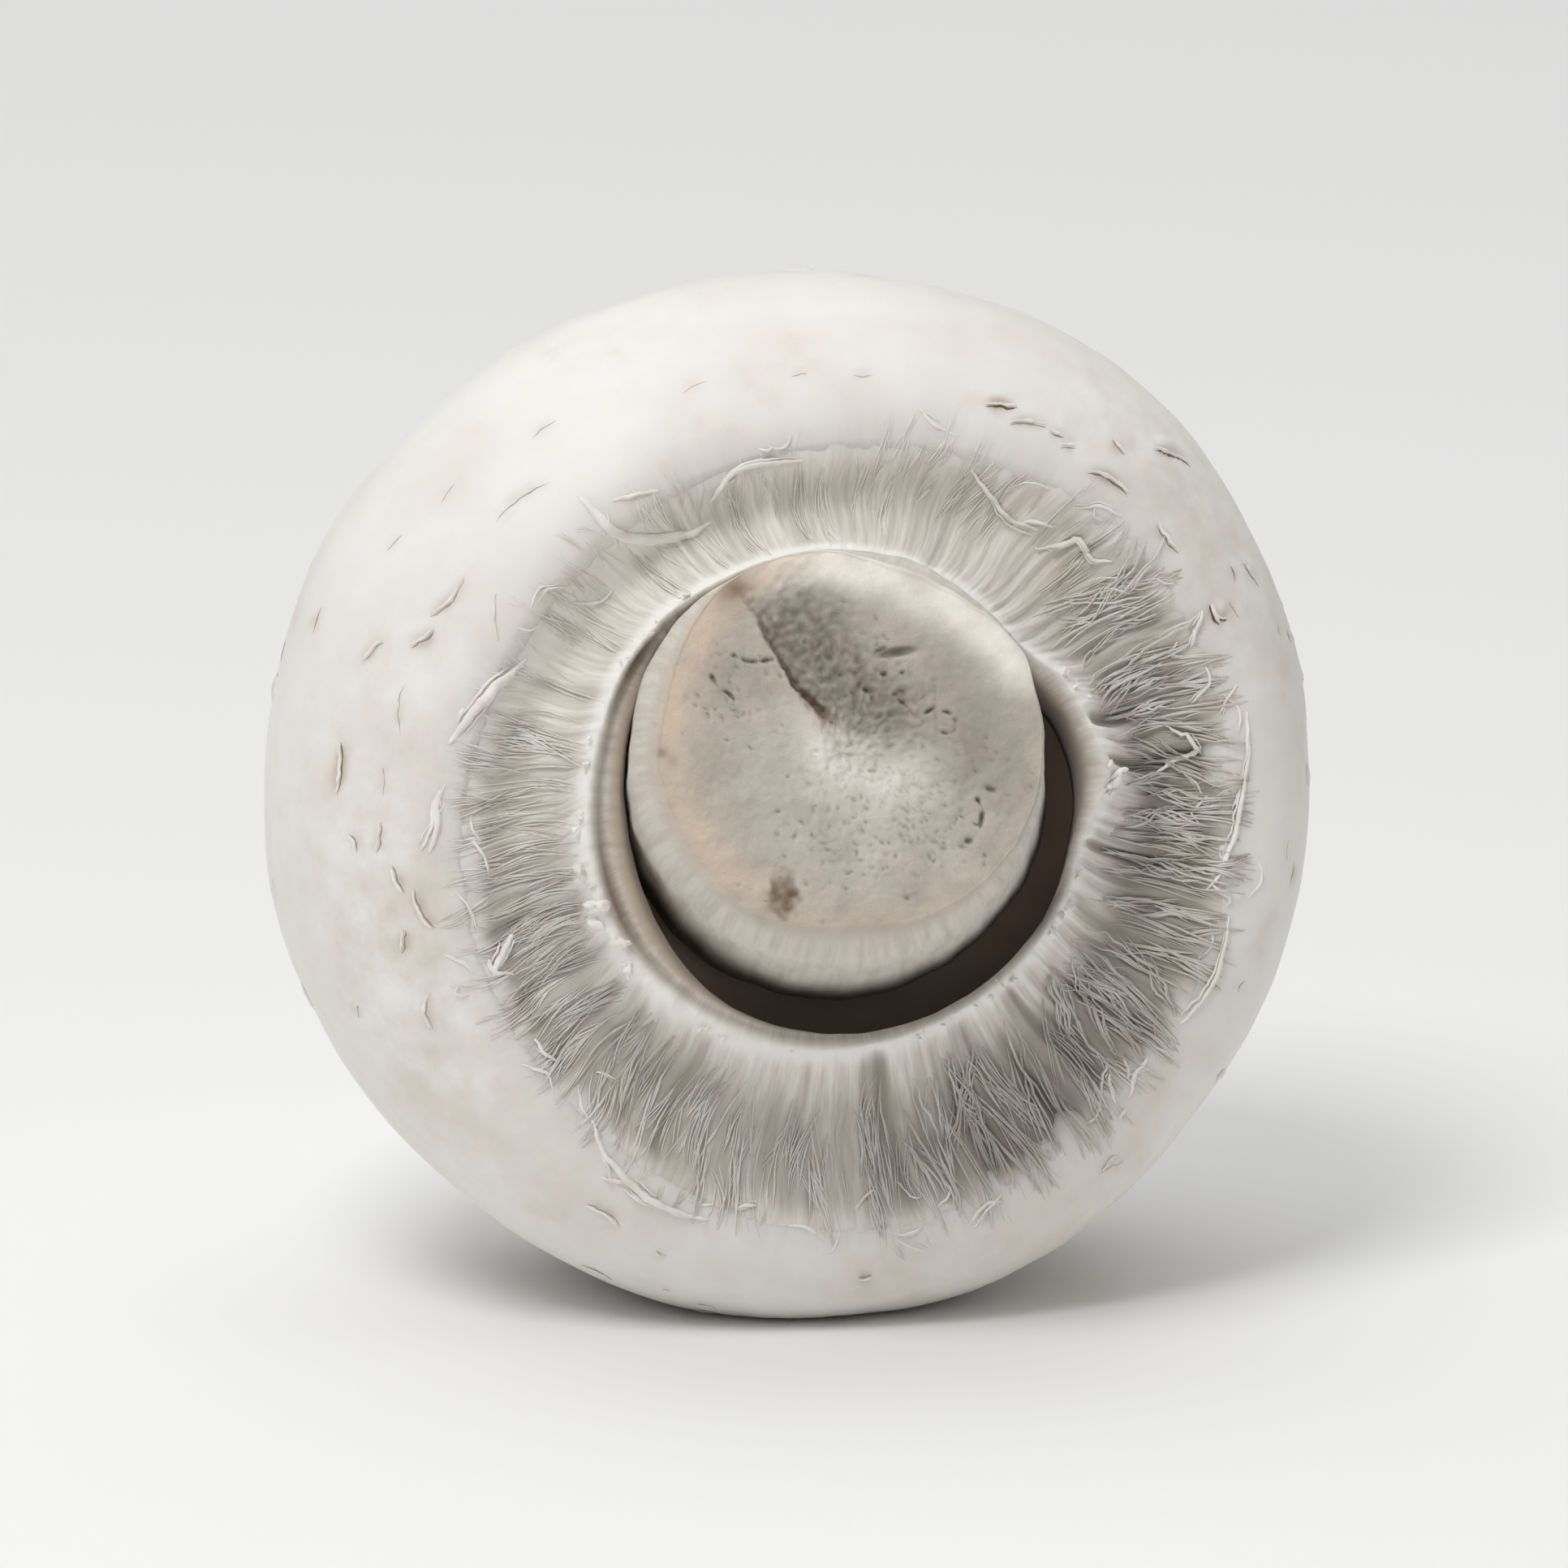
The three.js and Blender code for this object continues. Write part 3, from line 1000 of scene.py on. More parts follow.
@dataclass(frozen=True)
class Veil:
    """The membrane that hung between cap and stem: it dips behind the rim and climbs to a torn collar.

    Attributes:
        lip_radius: Radius of the profile's collar, before it is drawn in or out to follow the stem.
        wall: Thickness of the profile's collar.
        closed_reach: Distance from the stem's middle at which the collar closes on the stem.
        follows_stem: Radii between which the shape goes from following the stem to following the rim.
        lip_reach: Distance of the collar's crest from the stem's middle.
        wall_reach: Distance of its inner wall from there.
        lip_torn: How far the crest has torn away.
        ledge: How flat the collar is between crest and inner wall, from 0 to 1.
        split: Depth of the groove between the collar's two layers.
        closed: How far it closes on the stem below its lip, from 0 to 1.
        silk_from: Distance from the axis where the felt begins to turn into the rim's silk.
        painted_shade: How far painted shade greys the felt and its loose threads, from 0 to 1.
        thread_height: How rough the felt is.
        gaps: How deep it has parted, and how far painted shade darkens the parted hollows.
    """

    GRAIN_RADIUS = 17.0
    GRAIN_STRETCH = 9.0

    plan: BodyPlan
    finish: Finish
    around: int = 1000
    row_step: float = 0.22
    lip_radius: float = 12.4
    wall: float = 1.3
    outer_radius: float = 20.8
    closed_reach: float = 10.5
    follows_stem: tuple[float, float] = (12.6, 19.0)
    lip_reach: Around = Around.through(
        (5, 14.1), (20, 13.4), (30, 13.8), (60, 14.1), (100, 14.3), (141, 14.1), (158, 13.4), (176, 12.6),
        (190, 12.1), (207, 11.8), (224, 11.4), (242, 10.9), (270, 10.75), (300, 10.75), (316, 10.8),
        (331, 11.2), (342, 12.4), (353, 13.2),
    )
    wall_reach: Around = Around.through(
        (5, 12.3), (20, 12.5), (40, 12.9), (70, 12.9), (100, 12.6), (130, 12.2), (150, 11.6), (165, 11.15),
        (180, 10.85), (205, 10.7), (225, 10.45), (245, 10.1), (300, 10.0), (322, 10.2), (335, 10.5),
        (350, 11.6),
    )
    lip_torn: Around = Around.through(
        (0, 0.1), (9, 1.0), (40, 1.2), (80, 0.9), (130, 0.2), (180, 0), (270, -0.25), (340, -0.1)
    )
    ledge: Around = Around.through(
        (0, 0.1), (20, 0.1), (45, 0.4), (120, 0.6), (150, 0.9), (200, 0.9), (225, 0.6), (250, 0), (300, 0.1),
        (325, 0.4), (350, 0.35),
    )
    split: Around = Around.through(
        (0, 0), (24, 0), (34, 0.5), (48, 0.2), (100, 0.1), (135, 0.4), (150, 0.6), (168, 0.35), (190, 0.25),
        (202, 0.4), (212, 0.6), (222, 0.2), (235, 0), (340, 0),
    )
    closed: Around = Around.through((0, 0), (110, 0), (150, 0.5), (175, 0.9), (240, 1), (300, 0.6), (340, 0))
    silk_from: Around = Around.through(
        (0, 18.7), (60, 18.6), (90, 18.2), (150, 18.0), (190, 17.2), (225, 14.8), (250, 17.0), (300, 17.8)
    )
    painted_shade: Around = Around.through(
        (0, 0.85), (40, 0.75), (90, 0.4), (150, 0.5), (175, 0.2), (200, 0), (300, 0), (325, 0.35)
    )
    thread_height: Around = Around.through(
        (0, 0.3), (40, 0.3), (90, 0.26), (140, 0.24), (170, 0.2), (200, 0.15), (235, 0.14), (270, 0.13),
        (300, 0.16), (330, 0.24),
    )
    gaps: Around = Around.through(
        (0, 0.9), (40, 0.85), (90, 0.35), (140, 0.3), (180, 0.16), (250, 0.06), (300, 0.12), (325, 0.45)
    )

    def profile(self) -> list[Vector]:
        """The veil's section: from under the rim over the valley and the collar's lip, and back behind."""
        lip = self.lip_radius
        seen = (
            (self.outer_radius, -9.5),
            (20.2, -10.05),
            (19.5, -10.45),
            (18.7, -10.25),
            (17.7, -9.5),
            (16.6, -8.95),
            (15.4, -8.95),
            (lip + 1.9, -9.7),
            (lip + 1.1, -10.8),
            (lip + 0.55, -12.1),
            (lip + 0.12, -13.1),
            (lip - 0.12, -13.45),
            (lip - 0.15 * self.wall, -13.55),
            (lip - 0.4 * self.wall, -13.3),
            (lip - 0.65 * self.wall, -12.6),
            (lip - 0.88 * self.wall, -11.2),
            (lip - self.wall, -9.0),
        )
        front = smooth_path([Vector((x, 0.0, z)) for x, z in seen], self.row_step)
        back = [Vector((x, 0.0, z)) for x, z in ((lip - self.wall, -6.7), (17.5, -6.9), (20.4, -8.6))]
        return [*front, *back]

    def shaped(self, point: Vector) -> Vector:
        """Carries a point of the round veil to its place between the uneven rim and the leaning stem."""
        radius, direction = polar(point)
        inward = max(0.0, self.lip_radius - radius) / self.wall
        reach = mixed(self.lip_reach.at(direction), self.wall_reach.at(direction), inward)
        if inward > 0.0:
            shut = self.closed.at(direction) * smoothstep(-12.3, -10.0, point.z)
            reach = mixed(reach, self.closed_reach, shut)
        height = point.z
        if inward > 0.0:
            height = mixed(
                height, min(height, -12.9), self.ledge.at(direction) * smoothstep(1.0, 0.85, inward)
            )
            height += self.split.at(direction) * bell(inward - 0.5, 0.13)
        middle = self.plan.stem_middle(point.z)
        at_stem = middle + towards(direction, reach + max(0.0, radius - self.lip_radius))
        follow = 1.0 - smoothstep(*self.follows_stem, radius)
        lip = follow * smoothstep(-9.0, -13.4, point.z)
        ring = towards(direction, self.lip_radius)
        ragged = 0.18 * rough(ring, 1.2, 8) + 0.12 * rough(ring, 0.5, 9)
        shaped = self.plan.uneven(point).lerp(at_stem, follow)
        shaped.z = height + lip * (self.lip_torn.at(direction) + ragged)
        return shaped

    def build(self, cap_surface: BVHTree) -> tuple[Object, BVHTree]:
        """Makes the veil.

        Args:
            cap_surface: The cap's skin, which the veil's outer edge melts into.

        Returns:
            The piece, and its surface in the growing frame for what lies on it.
        """
        body = turned(self.profile(), self.around)
        grain = body.verts.layers.float_vector.new("grain")
        rim, felted, parted, outer = number_layers(body, "rim", "felted", "parted", "outer")
        cleft_shade, painted_shade, edge, inner = number_layers(body, "cleft_shade", "painted_shade", "edge", "inner")
        along = body.verts.layers.float["along"]
        crest = self.along_at_crest()
        for vert in body.verts:
            radius, direction = polar(vert.co)
            inward = max(0.0, self.lip_radius - radius) / self.wall
            vert.co = self.shaped(vert.co)
            level = mixed(vert.co.z, self.plan.collar_height, smoothstep(self.follows_stem[0], 17.5, radius))
            from_stem, runs = polar(vert.co - self.plan.stem_middle(level))
            wander = 0.02 * rough(towards(runs, self.GRAIN_RADIUS) + upright(radius * 0.7), 5.0, 11)
            vert[grain] = radial_grain(runs + wander, from_stem)
            past_crest = vert[along] - crest
            vert[rim] = 0.95 * bell(past_crest + 0.45, 0.75 + 0.5 * self.ledge.at(direction))
            silky = self.silk_from.at(direction)
            vert[outer] = 0.9 * smoothstep(silky, silky + 2.4, radius + 1.2 * rough(vert[grain], 1.6, 16))
            vert[edge] = smoothstep(mixed(18.3, silky, 0.6), self.outer_radius, radius)
            # Painted shade: the felt turns grey round the ring's right and lower side.
            vert[painted_shade] = self.painted_shade.at(direction) * smoothstep(
                13.0, 15.0, radius
            ) * smoothstep(20.2, 18.0, radius)
            vert[felted] = smoothstep(0.3, -1.2, past_crest) * smoothstep(20.9, 19.6, radius)
            # Painted shade: the collar darkens past its crest, most down in the gap by the stem and in the
            # groove between its layers.
            vert[inner] = smoothstep(0.6, 2.2, past_crest)
            gap = max(0.0, rough(vert[grain], 1.7, 14) + 0.35 * rough(vert[grain], 0.7, 17) + 0.02)
            vert[parted] = gap * self.gaps.at(direction) * vert[felted] * smoothstep(19.4, 17.8, radius)
            gap_shade = 0.6 * smoothstep(1.5, 3.2, past_crest)
            vert[cleft_shade] = max(gap_shade, min(1.0, 1.6 * self.split.at(direction)) * bell(inward - 0.5, 0.16))

        def relief(vert: BMVert) -> float:
            """Ropes of thread, the fine threads on them, and hollows where they have pulled apart."""
            strength = self.thread_height.at(polar(vert.co)[1]) * vert[felted]
            ropes = 0.6 - 2.2 * abs(rough(vert[grain], 1.0, 12))
            fine = 0.6 - 2.2 * abs(rough(vert[grain], 0.42, 13))
            lumps = 0.05 * rough(vert.co, 1.3, 15)
            return strength * (0.7 * ropes + 0.35 * fine) - 1.5 * vert[parted] + lumps

        raise_skin(body, relief)
        for vert in body.verts:
            if vert[edge] > 0.0:
                place, out, _, _ = cap_surface.find_nearest(vert.co)
                stands = mixed(
                    0.07, -0.14, vert[edge]
                ) + 0.07 * rough(vert.co, 1.3, 20) + 0.04 * rough(vert.co, 0.4, 21)
                vert.co = vert.co.lerp(place + out * stands, smoothstep(0.0, 0.5, vert[edge]))
        surface = BVHTree.FromBMesh(body)
        self.plan.lay_down(body)
        return as_piece(body, "veil_membrane", self.finish.material()), surface

    def along_at_crest(self) -> float:
        """Distance along the profile to the collar's highest point."""
        profile = self.profile()
        length = 0.0
        lowest = (0.0, 0.0)
        for before, point in zip(profile, profile[1:]):
            length += (point - before).length
            lowest = min(lowest, (point.z, length))
        return lowest[1]


# ---- What lies on cap and veil ----


@dataclass(frozen=True)
class Ground:
    """The surfaces of cap and veil, as seen from the stem's side."""

    plan: BodyPlan
    surfaces: tuple[BVHTree, ...]

    def rim_point(self, direction: float, radius: float) -> Vector:
        """The point of the rim's plane in a direction, given in radians, at a distance from the axis."""
        return self.plan.uneven(towards(direction, radius) + upright(-self.plan.rim_drop))

    def under(self, point: Vector) -> tuple[Vector, Vector]:
        """The surface's point that is seen in front of one on the rim's plane, and the normal there."""
        start = Vector((point.x, point.y, -40.0))
        found = (point, upright(-1.0))
        for i, surface in enumerate(self.surfaces):
            place, normal, _, _ = surface.ray_cast(start, upright(1.0))
            if place is not None and (i == 0 or place.z < found[0].z):
                found = (place, normal if normal.z < 0.0 else -normal)
        return found


@dataclass(frozen=True)
class Tufts:
    """A stretch of the ring, between two directions in degrees, where tufts of thread lie.

    Attributes:
        radius: Least and greatest distance of their outer ends from the axis.
        length: Shortest and longest.
        thickness: Thinnest and thickest thread, as a radius.
        comb: How far neighbouring tufts lean to one side together, in degrees.
        stray: How far each tuft strays from that.
        lift: How high their middles arch off the veil.
        spread: Half a tuft's width at its loose end.
    """

    start: float
    end: float
    count: int
    radius: tuple[float, float]
    length: tuple[float, float]
    thickness: tuple[float, float]
    comb: float
    stray: float
    lift: float
    spread: float


@dataclass(frozen=True)
class Threads:
    """Hundreds of loose threads over the veil and across the rim."""

    plan: BodyPlan
    finish: Finish
    ground: Ground
    veil: Veil
    steps: int = 7
    seed: int = 21
    stretches: tuple[Tufts, ...] = (
        Tufts(195, 325, 80, (16.8, 20.2), (1.4, 4.0), (0.02, 0.05), 8, 4, 0.06, 0.45),
        Tufts(-42, 78, 215, (16.0, 20.9), (2.4, 6.0), (0.022, 0.07), 20, 8, 0.34, 0.55),
        Tufts(78, 150, 105, (16.0, 20.4), (2.2, 5.6), (0.02, 0.05), 14, 6, 0.18, 0.5),
        Tufts(150, 200, 90, (16.2, 20.4), (2.0, 5.0), (0.02, 0.05), 12, 5, 0.12, 0.45),
        Tufts(0, 360, 90, (19.0, 20.9), (0.8, 2.2), (0.014, 0.03), 14, 12, 0.05, 0.35),
    )

    def build(self) -> Object:
        """Makes all the threads, as one piece."""
        source = random.Random(self.seed)
        threads = []
        for tufts in self.stretches:
            for _ in range(tufts.count):
                threads += self.tuft(source, tufts)
        body = spun_threads(threads, 0)
        (thin,) = number_layers(body, "thin")
        for vert in body.verts:
            # Painted shade: the threads grey where the veil's dusk greys the felt.
            patch = 0.7 + 0.6 * rough(vert.co, 1.5, 25)
            vert[thin] = min(1.0, patch * (0.1 + 0.8 * self.veil.painted_shade.at(polar(vert.co)[1])))
        self.plan.lay_down(body)
        return as_piece(body, "veil_threads", self.finish.material())

    def tuft(self, source: random.Random, tufts: Tufts) -> list[Strand]:
        """The threads of one tuft, which draw together towards one of its ends."""
        direction = math.radians(source.uniform(tufts.start, tufts.end))
        root = self.ground.rim_point(direction, source.uniform(*tufts.radius))
        length = source.uniform(*tufts.length)
        combed = rough(root, 3.0, 24)
        slant = math.radians(1.6 * tufts.comb * combed + source.gauss(0.0, tufts.stray))
        bend = source.gauss(0.0, 0.35)
        lift = tufts.lift * source.random()
        loose_outside = source.random() < 0.6
        heading = polar(self.plan.collar_middle - root)[1] + slant
        threads = []
        for _ in range(source.randint(2, 6)):
            aside = source.uniform(-tufts.spread, tufts.spread)
            thick = source.uniform(*tufts.thickness)
            step = length * source.uniform(0.6, 1.0) / self.steps
            spine = root + towards(heading, source.uniform(-0.4, 0.4))
            strand: Strand = []
            for i in range(self.steps + 1):
                share = i / self.steps
                arch = math.sin(math.pi * share)
                way = heading + bend * (share - 0.5)
                loose = 1.0 - share if loose_outside else share
                from_stem, around = polar(spine - self.plan.collar_middle)
                if from_stem < self.veil.lip_reach.at(around) + 0.5:
                    break
                place, out = self.ground.under(
                    spine + towards(way + math.pi / 2, aside * (0.2 + 0.8 * loose))
                )
                strand.append((place + out * (lift * arch + thick * 0.3), thick * (0.3 + 0.7 * arch)))
                spine = spine + towards(way, step)
            if len(strand) > 2:
                threads.append([*strand[:-1], (strand[-1][0], 0.3 * thick)])
        return threads


@dataclass(frozen=True)
class Fold:
    """A raised white fold of torn membrane.

    Attributes:
        path: Its points, as direction in degrees and distance from the axis.
        thickness: Its radius in the middle.
        lift: How far its middle stands off the surface.
    """

    path: tuple[tuple[float, float], ...]
    thickness: float
    lift: float


@dataclass(frozen=True)
class Folds:
    """The folds and shreds along the veil's outer edge, where it tore from the skin."""

    plan: BodyPlan
    finish: Finish
    ground: Ground
    named: tuple[Fold, ...] = (
        Fold(((232.5, 21.6), (233.3, 19.3), (237, 17.7), (243.5, 16.8), (248, 16.9)), 0.36, 0.12),
        Fold(((248.5, 17.8), (253.5, 19.0), (257.5, 19.1), (264.5, 18.7)), 0.2, 0.16),
        Fold(((194.5, 20.5), (198.7, 19.9), (204, 19.3), (206.2, 18.9), (210, 18.2)), 0.32, 0.16),
        Fold(((189, 20.3), (186, 20.6), (183, 20.5), (179.5, 20.9)), 0.22, 0.1),
        Fold(((160.5, 19.0), (162.6, 18.5), (165, 17.3)), 0.22, 0.2),
        Fold(((290.5, 18.7), (294.8, 17.8), (300.8, 17.0), (305, 17.1)), 0.15, 0.24),
        Fold(((306.5, 16.3), (308, 16.6), (311, 17.9), (314.5, 17.6), (317, 18.2)), 0.16, 0.26),
        Fold(((346, 20.7), (352, 20.3), (358.6, 19.8), (366, 19.4), (372, 18.6)), 0.15, 0.2),
        Fold(((330.5, 20.2), (334.5, 19.0)), 0.15, 0.22),
        Fold(((344.5, 16.8), (349.6, 18.3), (351.5, 17.1), (353, 15.9)), 0.14, 0.34),
        Fold(((375, 20.0), (384, 20.3), (392, 19.8)), 0.15, 0.25),
        Fold(((112, 20.2), (120, 20.6), (129, 20.1), (134, 19.2)), 0.2, 0.25),
    )
    shreds: int = 60
    seed: int = 33

    def build(self) -> Object:
        """Makes all the folds, as one piece."""
        source = random.Random(self.seed)
        strands = [strand for fold in self.named for strand in self.frayed(source, fold, 3)]
        strands += [
            strand for _ in range(self.shreds) for strand in self.frayed(source, self.shred(source), 2)
        ]
        body = spun_threads(strands, 1)
        for vert in body.verts:
            broad = Vector([rough(vert.co, 0.9, 41 + axis) for axis in range(3)])
            fine = Vector([rough(vert.co, 0.32, 44 + axis) for axis in range(3)])
            vert.co += broad * 0.1 + fine * 0.06
        self.plan.lay_down(body)
        return as_piece(body, "veil_folds", self.finish.material())

    def shred(self, source: random.Random) -> Fold:
        """A small fold somewhere along the edge, lying more or less round it."""
        start = source.uniform(0.0, 360.0)
        radius = source.gauss(19.3, 0.9)
        turn = source.uniform(2.0, 7.0) * source.choice((-1.0, 1.0))
        inward = source.uniform(-1.2, 1.2)
        bow = source.uniform(-0.5, 0.5)
        middle = (start + turn * 0.5, radius + inward * 0.5 + bow)
        path = ((start, radius), middle, (start + turn, radius + inward))
        return Fold(path, source.uniform(0.05, 0.13), source.uniform(0.02, 0.16))

    def frayed(self, source: random.Random, fold: Fold, count: int) -> list[Strand]:
        """A fold's core and the frayed threads beside it, laid on the surface and tapered to both ends."""
        knots = [self.ground.rim_point(math.radians(angle), radius) for angle, radius in fold.path]
        route = smooth_path(knots, 0.2)
        strands = []
        for k in range(count + 1):
            first = 0 if k == 0 else source.randrange(max(1, len(route) // 2))
            last = len(route) if k == 0 else source.randrange(first + 3, len(route) + 3)
            stretch = route[first:last]
            if len(stretch) < 3:
                continue
            thick = fold.thickness * (0.9 if k == 0 else source.uniform(0.2, 0.4))
            aside = 0.0 if k == 0 else source.uniform(-1.2, 1.2) * fold.thickness
            drift = 0.0 if k == 0 else source.uniform(-2.0, 2.0) * fold.thickness
            strand = []
            for i, knot in enumerate(stretch):
                share = i / (len(stretch) - 1)
                arch = math.sin(math.pi * (0.06 + 0.88 * share))
                way = (stretch[min(i + 1, len(stretch) - 1)] - stretch[max(i - 1, 0)]).normalized()
                moved = knot + Vector((-way.y, way.x, 0.0)) * (aside + drift * share)
                place, out = self.ground.under(moved)
                strand.append((place + out * (fold.lift * arch - thick * 0.3), thick * (0.2 + 0.8 * arch)))
            strands.append(strand)
        return strands


@dataclass(frozen=True)
class Crumbs:
    """Small knots of membrane along the collar's lip."""

    plan: BodyPlan
    finish: Finish
    veil: Veil
    named: tuple[tuple[float, float], ...] = (
        (2.6, 0.28), (4.0, 0.36), (5.2, 0.4), (6.6, 0.3), (8.2, 0.24), (36.0, 0.45), (39.0, 0.3),
        (160.0, 0.4), (152.0, 0.55), (149.0, 0.35), (143.0, 0.5), (138.0, 0.4),
    )
    extra: int = 40
    crest_height: float = -13.4
    seed: int = 5

    def build(self) -> Object:
        """Makes all the crumbs, as one piece."""
        source = random.Random(self.seed)
        crumbs = [*self.named]
        crumbs += [(source.uniform(-20.0, 235.0), source.uniform(0.08, 0.22)) for _ in range(self.extra)]
        body = bmesh.new()
        for angle, size in crumbs:
            direction = math.radians(angle)
            inward = source.uniform(-0.35, 0.25)
            crest = towards(direction, self.veil.lip_radius - inward) + upright(self.crest_height)
            at = self.veil.shaped(crest)
            stretch = Matrix.Diagonal((size, size * 0.5, size * 0.8, 1.0))
            turn = Matrix.Rotation(source.uniform(0.0, math.tau), 4, "Z")
            placed = Matrix.Translation(at) @ turn @ stretch
            made = bmesh.ops.create_icosphere(body, subdivisions=3, radius=1.0, matrix=placed)
            for vert in made["verts"]:
                knobs = 0.9 * rough(vert.co, size * 0.8, 51) + 0.5 * rough(vert.co, size * 0.35, 52)
                vert.co += (vert.co - at) * knobs
        self.plan.lay_down(body)
        return as_piece(body, "collar_crumbs", self.finish.material())


# ---- Stem ----


@dataclass(frozen=True)
class Pit:
    """A pore or a slot in the cut face.

    Attributes:
        right: Millimetres from the face's middle, seen from outside.
        up: Likewise.
        length: Half its length.
        width: Half its width.
        turn: The way it runs, in degrees from right towards up.
        depth: Millimetres.
    """

    right: float
    up: float
    length: float
    width: float
    turn: float
    depth: float


@dataclass(frozen=True)
class Stem:
    """The stem, cut across: a smooth side, and a cut face with a crack, a torn hollow and pits.

    On the cut face, right and up are seen from outside, in millimetres from its middle.
    """

    plan: BodyPlan
    finish: Finish
    around: int = 440
    face_rows: int = 92
    face_radius: float = 9.5
    round_over: float = 2.4  # mm up the side until the stem has its full girth
    height: float = 13.0
    flare: float = 0.7
    fibre_stretch: float = 9.0
    face_edge: float = 0.5  # mm up the side that the cut face's relief reaches
    outline: Around = Around.through(
        (0, 9.95), (21, 9.8), (37, 9.6), (52, 9.4), (70, 8.9), (87, 8.4), (110, 8.5), (130, 8.7), (150, 8.7),
        (187, 8.75), (205, 8.85), (221, 9.3), (240, 9.95), (253, 10.05), (270, 9.85), (281, 9.55),
        (294, 9.3), (314, 9.6), (335, 10.1),
    )
    tear_line: tuple[tuple[float, float], ...] = (
        (-5.1, 8.5), (-4.6, 7.9), (-3.7, 6.7), (-2.75, 4.7), (-1.9, 3.2), (-0.6, 1.7), (0.8, 0.6),
        (2.6, -0.2), (4.8, -0.6), (6.2, -0.4),
    )
    hollow_depth: float = 1.15
    named_pits: tuple[Pit, ...] = (
        Pit(3.05, 4.75, 0.9, 0.22, 6, 0.4),
        Pit(2.3, 4.9, 0.35, 0.15, 20, 0.3),
        Pit(2.4, 3.75, 0.18, 0.15, 0, 0.3),
        Pit(3.3, 3.75, 0.14, 0.12, 0, 0.25),
        Pit(7.3, -2.2, 0.28, 0.15, -20, 0.3),
        Pit(6.1, -4.7, 0.2, 0.15, 0, 0.3),
    )
    # The corners of fine cracks, right and up.
    cracks: tuple[tuple[tuple[float, float], ...], ...] = (
        ((2.9, 2.75), (3.4, 2.2), (4.1, 1.45), (4.35, 1.75), (4.75, 1.95)),
        ((5.0, 1.75), (5.45, 1.65), (5.8, 1.15), (5.6, 0.65), (5.15, 0.7)),
        ((-6.0, 3.95), (-5.7, 3.4), (-5.25, 3.1), (-5.0, 2.8)),
        ((-4.9, 4.95), (-4.1, 4.6), (-3.0, 4.65)),
        ((-6.5, 2.4), (-5.9, 2.3)),
        ((6.65, -2.7), (6.85, -3.3), (6.7, -4.0)),
        ((1.2, 3.3), (1.7, 2.9), (1.9, 2.3)),
    )
    # Right, up, spread right, spread up and count of each cluster of small pores.
    pores: tuple[tuple[float, float, float, float, int], ...] = (
        (4.4, -2.6, 2.0, 1.8, 170),
        (1.5, -5.0, 3.4, 1.5, 120),
        (-5.2, 3.0, 1.1, 1.3, 60),
        (1.2, 3.6, 1.6, 2.0, 130),
        (0.8, -1.3, 1.8, 1.0, 90),
    )
    brown_spot: tuple[float, float, float, float] = (-3.1, -6.9, 0.75, 1.1)
    seed: int = 11

    def profile(self) -> list[Vector]:
        """The stem's outline, standing on its cut end: from the end's middle to the one inside the cap."""
        radius = self.face_radius
        face = [Vector((radius * i / self.face_rows, 0.0, 0.0)) for i in range(self.face_rows + 1)]
        edge = [Vector((radius, 0.0, height)) for height in (0.08, 0.2, 0.35, 0.55, 0.8, 1.1)]
        side = [Vector((radius, 0.0, 1.4 + 0.3 * i)) for i in range(26)]
        return [*face, *edge, *side, Vector((radius, 0.0, self.height)), upright(self.height)]

    def standing(self) -> Matrix:
        """From a stem upright on its cut end to the leaning one of the growing frame."""
        lean = (self.plan.stem_root - self.plan.stem_foot).normalized()
        turn = upright(1.0).rotation_difference(lean).to_matrix().to_4x4()
        return Matrix.Translation(self.plan.stem_foot) @ turn

    def build(self) -> Object:
        """Makes the stem."""
        body = turned(self.profile(), self.around)
        body.verts.ensure_lookup_table()
        names = ("hollow", "pale", "cream", "tan", "skin", "brown")
        tints = dict(zip(names, number_layers(body, *names)))
        fibre = body.verts.layers.float_vector.new("fibre")
        for vert in body.verts:
            vert[fibre] = Vector((vert.co.x, vert.co.y, vert.co.z / self.fibre_stretch))
            self.fill_out(vert, tints["skin"])
        cut = [vert for vert in body.verts if vert.co.z < self.face_edge]
        pores = self.pore_depths(cut)
        for vert in cut:
            share = smoothstep(self.face_edge, 0.0, vert.co.z)
            sunk, colours = self.cut_at(Vector((vert.co.x, -vert.co.y, 0.0)), pores.get(vert.index, 0.0))
            vert.co.z += sunk * share
            for name, amount in colours.items():
                vert[tints[name]] = amount
        bmesh.ops.transform(body, matrix=self.standing(), verts=body.verts)
        self.plan.lay_down(body)
        return as_piece(body, "stem_flesh", self.finish.material())

    def fill_out(self, vert: BMVert, skin: BMLayerItem) -> None:
        """Moves a vertex of the plain cylinder out to the stem's girth, and marks the stem's skin."""
        radius, direction = polar(vert.co)
        height = vert.co.z
        length = (self.plan.stem_root - self.plan.stem_foot).length
        rounded = 1.0 - (1.0 - min(1.0, height / self.round_over)) ** 2
        girth = mixed(self.outline.at(direction), self.plan.stem_radius, rounded)
        girth += self.flare * smoothstep(length * 0.35, length, height)
        ring = towards(direction, self.plan.stem_radius)
        girth += 0.1 * rough(ring + upright(height / 6.0), 1.2, 61)
        girth += 0.18 * rough(ring + upright(height), 4.5, 62)
        share = radius / self.face_radius
        burr = 0.14 * share**12 * (height < 0.01)
        vert.co = towards(direction, girth * share) + upright(height + burr)
        vert[skin] = smoothstep(0.05, 0.9, height)

